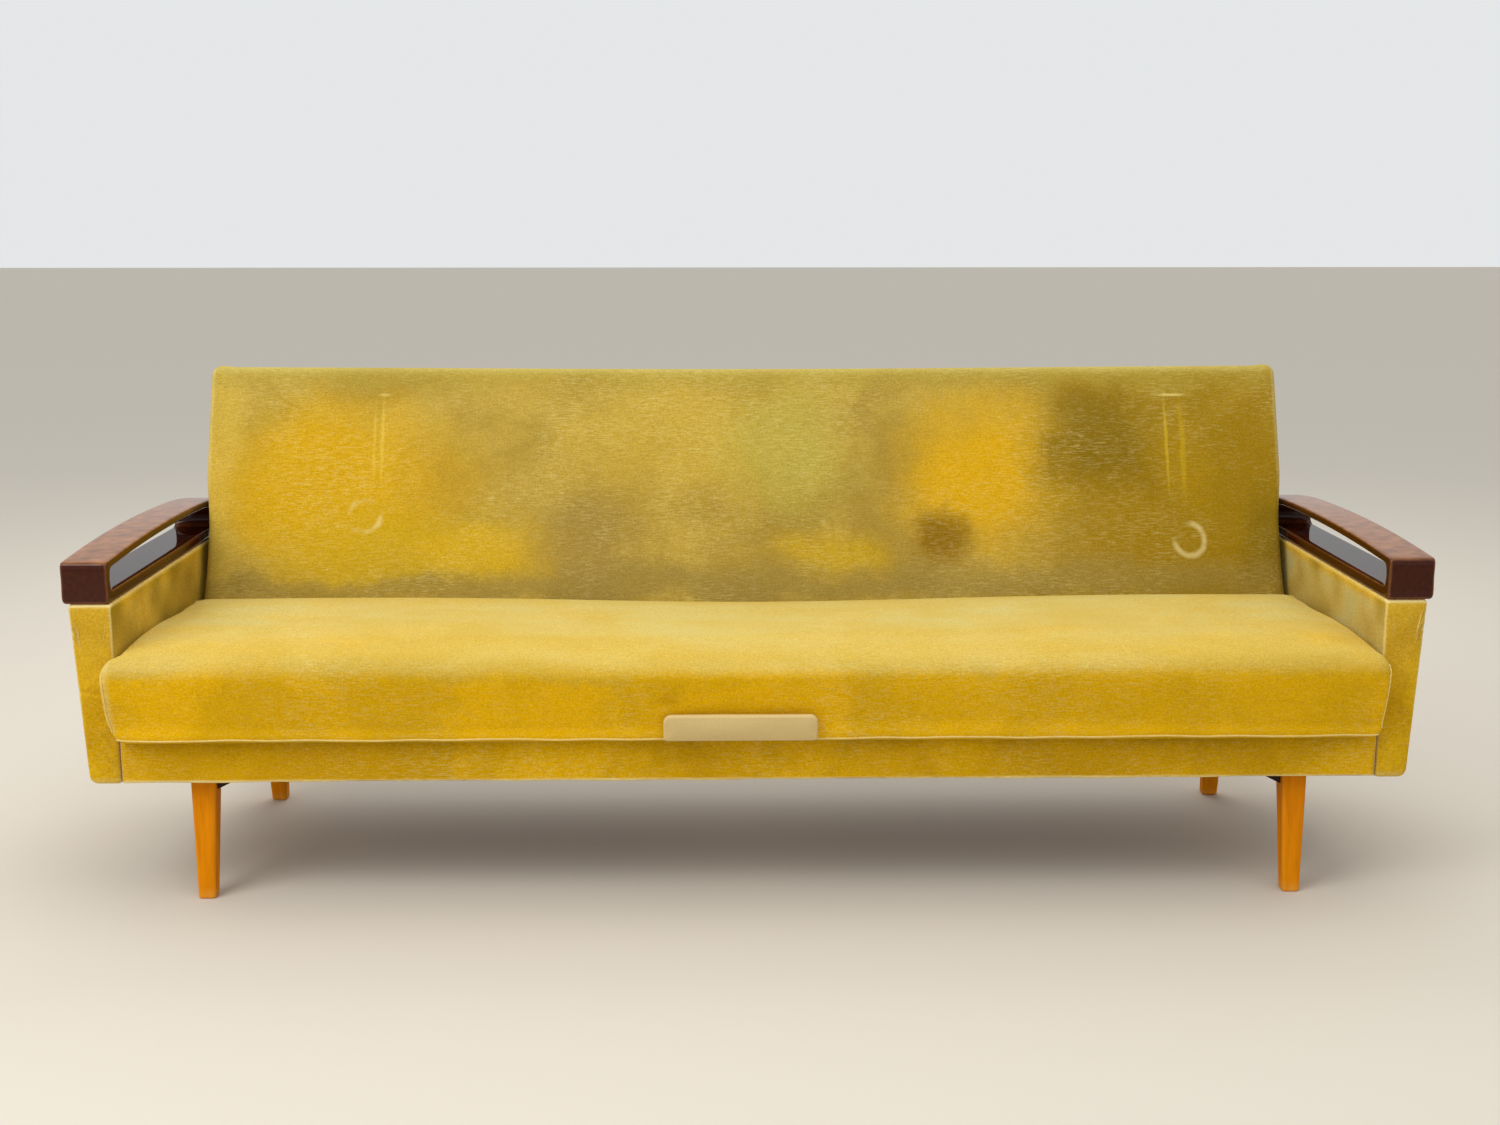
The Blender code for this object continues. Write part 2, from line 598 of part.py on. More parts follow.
# ---- seat ----------------------------------------------------------------------------------
def build_seat(seat):
    front, rear = SEAT_FRAME_FRONT, SEAT_FRAME_REAR
    inner_front = front + SEAT_FRAME_WIDTH
    inner_rear = rear - SEAT_FRAME_WIDTH
    box("seat_frame_front", (-HALF_SEAT_FRAME, front, SEAT_BOTTOM),
        (HALF_SEAT_FRAME, inner_front, SEAT_FRAME_TOP), PLAIN_PINE, seat)
    box("seat_frame_rear", (-HALF_SEAT_FRAME, inner_rear, SEAT_BOTTOM),
        (HALF_SEAT_FRAME, rear, SEAT_FRAME_TOP), PLAIN_PINE, seat)
    half_hole = HALF_SEAT_FRAME - SEAT_FRAME_WIDTH
    for side, sign in SIDES.items():
        ends = sorted((sign * half_hole, sign * HALF_SEAT_FRAME))
        box("seat_frame_" + side, (ends[0], inner_front + GAP, SEAT_BOTTOM),
            (ends[1], inner_rear - GAP, SEAT_FRAME_TOP), PLAIN_PINE, seat)
    for index in range(SPRING_COUNT):
        x = (index - (SPRING_COUNT - 1) / 2) * SPRING_SPACING
        add_spring(f"seat_spring_{index + 1}", x, front + SPRING_INSET, rear - SPRING_INSET, seat)
    cloth_bottom = SEAT_BOTTOM + DUST_CLOTH
    box("seat_dust_cover", (-half_hole + GAP, inner_front + GAP, cloth_bottom),
        (half_hole - GAP, inner_rear - GAP, cloth_bottom + DUST_CLOTH), DARK_CLOTH, seat)
    add_seat_pad(seat)
    add_pull_tab(seat)
    for side, sign in SIDES.items():
        add_seat_link(side, sign, seat)


def add_spring(name, x, start, end, seat):
    """A wavy flat spring of round wire from the front rail to the rear rail."""
    curve = bpy.data.curves.new(name, "CURVE")
    curve.dimensions = "3D"
    curve.bevel_depth = SPRING_WIRE
    curve.bevel_resolution = 1
    curve.use_fill_caps = True
    steps = SPRING_WAVES * 6
    spline = curve.splines.new("POLY")
    spline.points.add(steps)
    for index, point in enumerate(spline.points):
        share = index / steps
        sway = SPRING_SWAY * math.sin(2 * math.pi * SPRING_WAVES * share)
        point.co = (sway, start + (end - start) * share, 0, 1)
    add_piece(name, curve, SPRING_STEEL, seat, (x, 0, SPRING_LEVEL))


def add_seat_pad(seat):
    """The sprung cushion: a crowned block with a hollow below for its frame and springs."""
    corners = [
        (SEAT_FRONT_BOTTOM, SEAT_BOTTOM, 0.005),
        (-SEAT_OVERHANG, BED_LEVEL - SEAT_NOSE_DROP, 0.060),
        (-SEAT_OVERHANG + 0.008, BED_LEVEL + 0.003, 0.018),
        (0.100, BED_LEVEL + SEAT_CROWN, 0.350),
        (SEAT_DEPTH - 0.080, BED_LEVEL - 0.002, 0.300),
        (SEAT_DEPTH, BED_LEVEL - SEAT_REAR_DROP, 0.025),
        (SEAT_DEPTH, SEAT_BOTTOM, 0.004),
    ]
    span = (-HALF_CUSHION, HALF_CUSHION)
    pad = made_mesh(flat_shape("seat_pad", [filleted(corners)], span, VELVET, seat))
    bevel(pad, 0.006)
    hollow = box(
        "seat_hollow",
        (-HALF_SEAT_FRAME - GAP, SEAT_FRAME_FRONT - GAP, SEAT_BOTTOM - SEAT_FRAME_HEIGHT),
        (HALF_SEAT_FRAME + GAP, SEAT_FRAME_REAR + GAP, SEAT_RECESS_TOP), VELVET, seat)
    combine(pad, hollow, "DIFFERENCE")


def add_pull_tab(seat):
    """A padded grip flap on the lower front edge of the seat."""
    rise = BED_LEVEL - SEAT_NOSE_DROP - SEAT_BOTTOM
    lean = math.atan2(SEAT_TUCK, rise)
    half_width = TAB_WIDTH / 2
    corners = [
        (-half_width, 0, 0.004),
        (half_width, 0, 0.004),
        (half_width, TAB_HEIGHT, TAB_CORNER),
        (-half_width, TAB_HEIGHT, TAB_CORNER),
    ]
    curve = bpy.data.curves.new("pull_tab", "CURVE")
    curve.dimensions = "2D"
    curve.fill_mode = "BOTH"
    curve.extrude = TAB_THICKNESS / 2
    loop = filleted(corners)
    spline = curve.splines.new("POLY")
    spline.points.add(len(loop) - 1)
    for point, (x, z) in zip(spline.points, loop):
        point.co = (x, z, 0, 1)
    spline.use_cyclic_u = True
    stand_off = TAB_THICKNESS / 2 + GAP
    centre = (
        TAB_OFFSET,
        SEAT_FRONT_BOTTOM - TAB_RISE * math.sin(lean) - stand_off * math.cos(lean),
        SEAT_BOTTOM + TAB_RISE * math.cos(lean) - stand_off * math.sin(lean),
    )
    tab = add_piece("pull_tab", curve, TAB_CLOTH, seat, centre, (math.pi / 2 + lean, 0, 0))
    bevel(made_mesh(tab), 0.003)


def add_seat_link(side, sign, seat):
    """The steel bar that carries the seat on the pivot, with the boss that meets the seat."""
    far = (PIVOT_Y - SEAT_LINK_REACH, BASE_TOP + SEAT_LINK_ABOVE_BASE)
    pivot = (PIVOT_Y, PIVOT_Z)
    loops = [link_outline(pivot, far, LINK_RADIUS), circle(pivot, PIVOT_RADIUS + PIN_CLEARANCE)]
    x_range = (sign * SEAT_LINK_IN, sign * SEAT_LINK_OUT)
    link = made_mesh(flat_shape("seat_link_" + side, loops, x_range, ZINC_STEEL, seat))
    boss = rod(f"seat_link_boss_{side}", BOSS_RADIUS, (sign * (HALF_CUSHION + GAP), *far),
               (sign * (SEAT_LINK_IN + SEAT_LINK_OUT) / 2, *far), ZINC_STEEL, seat)
    combine(link, boss, "UNION")


# ---- back, in coordinates of depth behind its front face and height up its slope -----------
def build_back(back):
    front, rear = BACK_FRAME_FRONT, BACK_FRAME_REAR
    low = BACK_END_PAD
    high = BACK_LENGTH - BACK_END_PAD
    inner = HALF_BACK_FRAME - BACK_SIDE_WIDTH - GAP
    box("back_frame_bottom", (-inner, front, low), (inner, rear, low + BACK_FRAME_WIDTH),
        PLAIN_PINE, back)
    box("back_frame_top", (-inner, front, high - BACK_FRAME_WIDTH), (inner, rear, high),
        PLAIN_PINE, back)
    for side, sign in SIDES.items():
        ends = sorted((sign * (HALF_BACK_FRAME - BACK_SIDE_WIDTH), sign * HALF_BACK_FRAME))
        box("back_frame_" + side, (ends[0], front, low), (ends[1], rear, high), PLAIN_PINE, back)
        add_back_link(side, sign, back)
    for name, place in (("left", -1), ("middle", 0), ("right", 1)):
        middle = place * WEB_SPACING
        box("back_web_" + name, (middle - WEB_WIDTH / 2, WEB_FRONT, low),
            (middle + WEB_WIDTH / 2, WEB_FRONT + WEB_THICKNESS, high), JUTE, back)
    pad = box("back_pad", (-HALF_CUSHION, 0, 0), (HALF_CUSHION, BACK_PAD_REAR, BACK_LENGTH),
              VELVET, back, BACK_SIDE_PAD * 0.9)
    hollow = box("back_hollow", (-HALF_BACK_FRAME - GAP, BACK_PAD_DEPTH, low - GAP),
                 (HALF_BACK_FRAME + GAP, BACK_THICKNESS, high + GAP), VELVET, back)
    combine(pad, hollow, "DIFFERENCE")
    inset = REAR_CLOTH_INSET
    box("back_rear_cover", (-HALF_CUSHION + inset, BACK_PAD_REAR + GAP, inset),
        (HALF_CUSHION - inset, BACK_THICKNESS, BACK_LENGTH - inset), VELVET, back)


def add_back_link(side, sign, back):
    """The steel bar on the back, with the toothed ratchet sector about the pivot."""
    pivot = Vector((PIVOT_BEHIND_FRONT, PIVOT_ABOVE_EDGE))
    far = pivot + Vector((BACK_LINK_REAR, BACK_LINK_UP))
    heading = math.degrees(math.atan2(BACK_LINK_UP, BACK_LINK_REAR))
    pitch = math.degrees(FOLD_ANGLE) / RATCHET_STEPS
    first_notch = 270 + math.degrees(BACK_TILT)
    loop = arc(far, LINK_RADIUS, heading - 90, heading + 90, 8)
    loop += arc(pivot, LINK_RADIUS, heading + 90, first_notch - pitch / 2, 6)
    for step in range(RATCHET_STEPS + 1):
        notch = first_notch + step * pitch
        loop.append(tuple(pivot + polar(RATCHET_RADIUS, notch - pitch / 2)))
        loop.append(tuple(pivot + polar(RATCHET_RADIUS - RATCHET_DEPTH, notch)))
    end = first_notch + (RATCHET_STEPS + 0.5) * pitch
    side_reach = LINK_RADIUS / math.cos(math.radians(end - (heading + 270)))
    loop += [tuple(pivot + polar(RATCHET_RADIUS, end)), tuple(pivot + polar(side_reach, end))]
    hole = circle(pivot, PIVOT_RADIUS + PIN_CLEARANCE)
    flat_shape("back_link_" + side, [loop, hole], (sign * BACK_LINK_IN, sign * BACK_LINK_OUT),
               ZINC_STEEL, back)


def polar(radius, degrees):
    angle = math.radians(degrees)
    return Vector((radius * math.cos(angle), radius * math.sin(angle)))


# ---- pivots and ratchets -------------------------------------------------------------------
def pawl_centre():
    """The pawl's pin, level with the tooth's tip so that the tip moves straight at the pivot."""
    return (PIVOT_Y + PAWL_LENGTH, PIVOT_Z - RATCHET_RADIUS - PAWL_CLEARANCE)


def build_fittings(base, pawls):
    pin = pawl_centre()
    for side, sign in SIDES.items():
        low = BASE_TOP + PLATE_ABOVE_BASE
        corners = [
            (PIVOT_Y - PLATE_FRONT, low, 0.004),
            (PIVOT_Y + PLATE_REAR, low, 0.004),
            (PIVOT_Y + PLATE_REAR, low + PLATE_SHOULDER, 0.008),
            (PIVOT_Y + PLATE_FRONT / 2, PIVOT_Z + PIVOT_RADIUS * 4, 0.016),
            (PIVOT_Y - PLATE_FRONT / 2, PIVOT_Z + PIVOT_RADIUS * 4, 0.016),
            (PIVOT_Y - PLATE_FRONT, low + PLATE_SHOULDER, 0.008),
        ]
        hole = circle((PIVOT_Y, PIVOT_Z), PIVOT_RADIUS + PIN_CLEARANCE)
        plate = made_mesh(flat_shape("hinge_plate_" + side, [filleted(corners), hole],
                                     (sign * PLATE_IN, sign * PLATE_OUT), ZINC_STEEL, base))
        stud = rod(f"pawl_stud_{side}", PIN_RADIUS, (sign * BACK_LINK_IN, *pin),
                   (sign * (PLATE_IN + PLATE_OUT) / 2, *pin), ZINC_STEEL, base)
        combine(plate, stud, "UNION")
        rod(f"pivot_bolt_{side}", PIVOT_RADIUS, (sign * BACK_LINK_IN, PIVOT_Y, PIVOT_Z),
            (sign * (HALF_CLEAR + PIVOT_IN_BOARD), PIVOT_Y, PIVOT_Z), ZINC_STEEL, base)
        add_pawl(side, sign, pin, pawls[side])


def add_pawl(side, sign, pin, group):
    """A lever with one tooth, drawn just clear of the ratchet."""
    y, z = pin
    tip_y = y - PAWL_LENGTH
    shank_top = z - PAWL_TOOTH_HEIGHT
    loop = arc(pin, PAWL_HUB, -90, 90, 6)
    loop += [
        (y - PAWL_HUB, z),
        (y - PAWL_HUB, shank_top),
        (tip_y + PAWL_TOOTH_HALF, shank_top),
        (tip_y, z),
        (tip_y - PAWL_TOOTH_HALF, shank_top),
        (tip_y - PAWL_TOOTH_HALF, z - 2 * PAWL_TOOTH_HEIGHT),
        (y - PAWL_HUB, z - 2 * PAWL_TOOTH_HEIGHT),
    ]
    hole = circle(pin, PIN_RADIUS + PIN_CLEARANCE)
    made_mesh(flat_shape("pawl_" + side, [loop, hole],
                         (sign * BACK_LINK_IN, sign * BACK_LINK_OUT), ZINC_STEEL, group))


def main():
    root = Group("arm_front", (0, 0), location=(0, -MIDDLE_Y, 0))
    pivot = (PIVOT_Y, PIVOT_Z)
    seat = Group("seat_hinge", pivot, root, (0, *pivot))
    back = Group("back_hinge", (PIVOT_BEHIND_FRONT, PIVOT_ABOVE_EDGE), root, (0, *pivot),
                 BACK_TILT)
    pin = pawl_centre()
    pawls = {side: Group("pawl_hinge_" + side, pin, root, (0, *pin)) for side in SIDES}
    build_base(root)
    build_legs(root)
    build_arms(root)
    build_fittings(root, pawls)
    build_seat(seat)
    build_back(back)


clear_scene()
PARTS = new_collection("sofa_bed")
CUTTERS = new_collection("sofa_bed_cutters")
main()
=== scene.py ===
"""Looks of the sofa bed: worn velvet upholstery, lacquered beech armrests and legs, fittings.

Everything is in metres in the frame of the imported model. X runs along the sofa, -Y is its
front and the floor is at Z = 0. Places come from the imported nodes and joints.
"""

import json
import logging
import math
from collections.abc import Callable, Sequence
from dataclasses import dataclass
from enum import Enum

import bpy
import numpy as np
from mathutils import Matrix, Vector


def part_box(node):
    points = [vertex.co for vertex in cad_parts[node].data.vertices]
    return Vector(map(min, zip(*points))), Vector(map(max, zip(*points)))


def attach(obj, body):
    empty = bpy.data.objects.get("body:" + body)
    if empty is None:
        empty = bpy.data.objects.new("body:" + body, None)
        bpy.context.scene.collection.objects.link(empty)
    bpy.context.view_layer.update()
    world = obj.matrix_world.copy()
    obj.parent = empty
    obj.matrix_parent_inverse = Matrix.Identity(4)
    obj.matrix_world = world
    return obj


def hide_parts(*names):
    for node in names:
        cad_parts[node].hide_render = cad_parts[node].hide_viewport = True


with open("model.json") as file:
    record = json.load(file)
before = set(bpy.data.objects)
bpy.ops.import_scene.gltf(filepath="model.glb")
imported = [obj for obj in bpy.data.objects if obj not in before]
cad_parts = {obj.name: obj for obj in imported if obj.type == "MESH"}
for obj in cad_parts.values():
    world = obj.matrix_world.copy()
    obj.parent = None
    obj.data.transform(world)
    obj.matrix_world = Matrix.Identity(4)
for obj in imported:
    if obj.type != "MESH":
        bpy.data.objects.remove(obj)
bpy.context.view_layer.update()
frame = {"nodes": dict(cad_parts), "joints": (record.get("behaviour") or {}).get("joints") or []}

LOG = logging.getLogger("sofa")
SIDES = {"left": -1, "right": 1}
ROUND_STEPS = 6  # points on each quarter turn of a rounded edge
SWELL_FRAMES = 20  # frames of the cloth simulation
STUFFING_PRESSURE = 4.0
CUSHION_STATIONS = 150  # rings between the ends of a cushion

Piece = bpy.types.Object
Material = bpy.types.Material
Socket = bpy.types.NodeSocket
Triple = tuple[float, float, float]
Colour = Socket | tuple[float, float, float, float]


class Slot(Enum):
    """The record's material slots."""

    VELVET = "old_gold_velvet"
    TAB = "beige_tab_cloth"
    LACQUER = "brown_lacquered_beech"
    HONEY = "honey_beech"


class Grain(Enum):
    """The axis that a board's grain runs along."""

    X = (1, 0, 0)
    Y = (0, 1, 0)
    Z = (0, 0, 1)


# ---- small helpers -------------------------------------------------------------------------
def linear(hex_colour: str) -> tuple[float, float, float, float]:
    """Turn an sRGB hex colour into a linear one.

    Args:
        hex_colour: Six hex digits, red, green and blue.

    Returns:
        The linear colour with an alpha of 1.
    """
    parts = [int(hex_colour[i:i + 2], 16) / 255 for i in (0, 2, 4)]
    red, green, blue = (c / 12.92 if c <= 0.04045 else ((c + 0.055) / 1.055) ** 2.4 for c in parts)
    return (red, green, blue, 1.0)


def feed(tree: bpy.types.NodeTree, made: bpy.types.Node, inputs: dict) -> None:
    """Set the inputs of a node.

    Args:
        tree: The tree that the node is in.
        made: The node.
        inputs: Socket name or number to a value, or to the output socket that feeds it.
    """
    for key, value in inputs.items():
        if isinstance(value, Socket):
            tree.links.new(value, made.inputs[key])
        else:
            made.inputs[key].default_value = value


def node(tree: bpy.types.NodeTree, kind: str, inputs: dict | None = None,
         **settings: str | bool) -> bpy.types.Node:
    """Add a shader node.

    Args:
        tree: The tree that the node goes in.
        kind: The node's type name.
        inputs: Socket name or number to a value, or to the output socket that feeds it.
        **settings: Properties of the node.

    Returns:
        The new node.
    """
    made = tree.nodes.new(kind)
    for key, value in settings.items():
        setattr(made, key, value)
    feed(tree, made, inputs or {})
    return made


def smooth(values: np.ndarray, low: float, high: float) -> np.ndarray:
    """Rise smoothly from 0 at low to 1 at high.

    Args:
        values: Where to read the step.
        low: Value at which it is 0.
        high: Value at which it is 1.

    Returns:
        The step at each value.
    """
    share = np.clip((values - low) / (high - low), 0, 1)
    return share * share * (3 - 2 * share)


def filleted(corners: Sequence[tuple[float, float, float]]) -> np.ndarray:
    """Round the corners of a closed outline.

    Args:
        corners: Each corner's two coordinates and its radius.

    Returns:
        The outline's points.
    """
    points = []
    for index, (a, b, radius) in enumerate(corners):
        here = Vector((a, b))
        before = (Vector(corners[index - 1][:2]) - here).normalized()
        after = (Vector(corners[(index + 1) % len(corners)][:2]) - here).normalized()
        half = before.angle(after) / 2
        reach = radius / math.tan(half)
        middle = here + (before + after).normalized() * (radius / math.sin(half))
        first = here + before * reach - middle
        last = here + after * reach - middle
        sweep = first.angle_signed(last)
        for step in range(ROUND_STEPS + 1):
            angle = -sweep * step / ROUND_STEPS
            cos, sin = math.cos(angle), math.sin(angle)
            points.append((middle.x + cos * first.x - sin * first.y,
                           middle.y + sin * first.x + cos * first.y))
    return np.array(points)


def quarter(radius: float) -> list[tuple[float, float]]:
    """Go round a quarter turn, from a face to the face beside it.

    Args:
        radius: The turn's radius.

    Returns:
        How far each step stands back from the end, and how far it is set in from the side.
    """
    angles = [math.pi / 2 * step / ROUND_STEPS for step in range(ROUND_STEPS + 1)]
    return [(radius * (1 - math.sin(a)), radius * (1 - math.cos(a))) for a in angles]


def squared(low: tuple[float, float], high: tuple[float, float], radius: float,
            shares: Sequence[float]) -> list[tuple[float, float]]:
    """Draw a rectangle with rounded corners and extra points that keep its sides flat.

    Args:
        low: Its lowest corner.
        high: Its highest corner.
        radius: Radius of its corners.
        shares: Where the extra points lie along each side.

    Returns:
        The outline's points.
    """
    rounded = filleted(((low[0], low[1], radius), (high[0], low[1], radius),
                        (high[0], high[1], radius), (low[0], high[1], radius)))
    points = []
    for index, here in enumerate(rounded):
        after = rounded[(index + 1) % len(rounded)]
        points.append(tuple(here))
        if (index + 1) % (ROUND_STEPS + 1) == 0:
            points += [tuple(here + (after - here) * share) for share in shares]
    return points


def resampled(points: np.ndarray, count: int) -> np.ndarray:
    """Space points evenly round a closed outline.

    Args:
        points: The outline.
        count: How many points to return.

    Returns:
        The evenly spaced points.
    """
    loop = np.vstack([points, points[:1]])
    lengths = np.concatenate([[0], np.cumsum(np.linalg.norm(np.diff(loop, axis=0), axis=1))])
    wanted = np.linspace(0, lengths[-1], count, endpoint=False)
    return np.column_stack([np.interp(wanted, lengths, loop[:, k]) for k in range(loop.shape[1])])


def loft(name: str, rings: np.ndarray, closed: bool = False) -> Piece:
    """Join rings of points into a skin.

    Args:
        name: The new piece's name.
        rings: Rings by points by coordinates.
        closed: Whether the last ring joins the first. Otherwise a ladder of faces caps each end,
            which needs an even number of points.

    Returns:
        The new piece, shaded smooth.
    """
    count, size = rings.shape[:2]
    faces = []
    for ring in range(count if closed else count - 1):
        after = (ring + 1) % count
        for point in range(size):
            beside = (point + 1) % size
            faces.append((ring * size + point, ring * size + beside,
                          after * size + beside, after * size + point))
    for base in () if closed else (0, (count - 1) * size):
        for point in range(size // 2 - 1):
            quad = (base + point, base + point + 1, base + size - 2 - point, base + size - 1 - point)
            faces.append(quad if base else quad[::-1])
    mesh = bpy.data.meshes.new(name)
    mesh.from_pydata(rings.reshape(-1, 3).tolist(), [], faces)
    mesh.validate()
    mesh.shade_smooth()
    piece = bpy.data.objects.new(name, mesh)
    bpy.context.scene.collection.objects.link(piece)
    return piece


def face_outwards(piece: Piece) -> None:
    """Turn a closed piece's faces out if its volume is negative.

    Args:
        piece: The mesh piece.
    """
    mesh = piece.data
    mesh.calc_loop_triangles()
    places = read_points(piece)
    corners = np.empty(len(mesh.loop_triangles) * 3, dtype=np.int64)
    mesh.loop_triangles.foreach_get("vertices", corners)
    a, b, c = places[corners.reshape(-1, 3)].transpose(1, 0, 2)
    if np.einsum("ij,ij->i", a, np.cross(b, c)).sum() < 0:
        mesh.flip_normals()


def read_points(piece: Piece) -> np.ndarray:
    """Read where a mesh piece's vertices are.

    Args:
        piece: The mesh piece.

    Returns:
        The positions, one row each.
    """
    flat = np.empty(len(piece.data.vertices) * 3)
    piece.data.vertices.foreach_get("co", flat)
    return flat.reshape(-1, 3)


def write_points(piece: Piece, points: np.ndarray) -> None:
    """Move a mesh piece's vertices to new positions."""
    piece.data.vertices.foreach_set("co", points.ravel())
    piece.data.update()


def read_normals(piece: Piece) -> np.ndarray:
    """Read which way a mesh piece's surface faces at its vertices.

    Args:
        piece: The mesh piece.

    Returns:
        The directions, one row each.
    """
    flat = np.empty(len(piece.data.vertices) * 3, dtype=np.float32)
    piece.data.vertex_normals.foreach_get("vector", flat)
    return flat.reshape(-1, 3).astype(float)


def paint(piece: Piece, name: str, values: np.ndarray) -> None:
    """Store one number on each vertex for the materials to read.

    Args:
        piece: The mesh piece.
        name: The attribute's name.
        values: One value for each vertex.
    """
    layer = piece.data.attributes.new(name, "FLOAT", "POINT")
    layer.data.foreach_set("value", np.asarray(values, dtype=np.float32))


def subdivided(piece: Piece) -> None:
    """Split and smooth a mesh piece's faces once.

    Args:
        piece: The mesh piece.
    """
    split = piece.modifiers.new("split", "SUBSURF")
    split.levels = 1
    split.render_levels = 1
    apply_modifiers(piece)


def apply_modifiers(piece: Piece) -> None:
    """Replace a piece's mesh by what its modifiers make of it.

    Args:
        piece: The mesh piece.
    """
    bpy.context.view_layer.update()
    depsgraph = bpy.context.evaluated_depsgraph_get()
    made = bpy.data.meshes.new_from_object(piece.evaluated_get(depsgraph))
    made.shade_smooth()
    piece.modifiers.clear()
    piece.data = made


def inflate(piece: Piece, held: np.ndarray, cap: float) -> None:
    """Swell a sewn cover with a cloth simulation and keep the result.

    Args:
        piece: The cover, as a closed mesh.
        held: How firmly each vertex is held in place, from 0 to 1.
        cap: The furthest that a point may move.
    """
    before = read_points(piece)
    group = piece.vertex_groups.new(name="held")
    for index, weight in enumerate(held):
        if weight > 0:
            group.add([index], float(weight), "REPLACE")
    cloth = piece.modifiers.new("swell", "CLOTH")
    wanted = {"quality": 4, "mass": 0.3, "tension_stiffness": 15, "compression_stiffness": 15,
              "shear_stiffness": 5, "bending_stiffness": 0.5, "use_pressure": True,
              "uniform_pressure_force": STUFFING_PRESSURE, "vertex_group_mass": "held"}
    for name, value in wanted.items():
        setattr(cloth.settings, name, value)
    cloth.settings.effector_weights.gravity = 0
    cloth.collision_settings.use_collision = False
    cloth.point_cache.frame_start = 1
    cloth.point_cache.frame_end = SWELL_FRAMES
    scene = bpy.context.scene
    for step in range(1, SWELL_FRAMES + 1):
        scene.frame_set(step)
    depsgraph = bpy.context.evaluated_depsgraph_get()
    swollen = piece.evaluated_get(depsgraph).to_mesh()
    flat = np.empty(len(swollen.vertices) * 3)
    swollen.vertices.foreach_get("co", flat)
    move = flat.reshape(-1, 3) - before
    piece.modifiers.clear()
    piece.vertex_groups.clear()
    scene.frame_set(1)
    far = np.linalg.norm(move, axis=1, keepdims=True)
    write_points(piece, before + move * cap * np.tanh(far / cap) / np.maximum(far, 1e-9))


def tube(name: str, path: np.ndarray, radius: float) -> Piece:
    """Make a round cord of cloth along a path, as a sewn welt.

    Args:
        name: The new piece's name.
        path: Points along its middle.
        radius: Half its thickness.

    Returns:
        The new mesh piece, closed at both ends.
    """
    sides = 10
    ahead = np.gradient(path, axis=0)
    ahead /= np.linalg.norm(ahead, axis=1, keepdims=True)
    across = np.cross(ahead, np.cross(ahead[0], ahead[len(ahead) // 3]) + (1e-6, 2e-6, 3e-6))
    across /= np.linalg.norm(across, axis=1, keepdims=True)
    upward = np.cross(ahead, across)
    turn = np.linspace(0, 2 * math.pi, sides, endpoint=False)
    ring = (across[:, None, :] * np.cos(turn)[None, :, None]
            + upward[:, None, :] * np.sin(turn)[None, :, None])
    piece = loft(name, path[:, None, :] + ring * radius)
    face_outwards(piece)
    return piece


def laid_on(path: np.ndarray, cover: Piece, rise: float) -> np.ndarray:
    """Move a path onto a cover's surface and even it out.

    Args:
        path: Points near the surface.
        cover: The mesh piece that it lies on.
        rise: How far above the surface it lies.

    Returns:
        The moved points.
    """
    laid = []
    for point in path:
        _, spot, normal, _ = cover.closest_point_on_mesh(point)
        laid.append(spot + normal * rise)
    even = np.array(laid)
    for _ in range(4):
        even[1:-1] = (even[:-2] + 2 * even[1:-1] + even[2:]) / 4
    return even


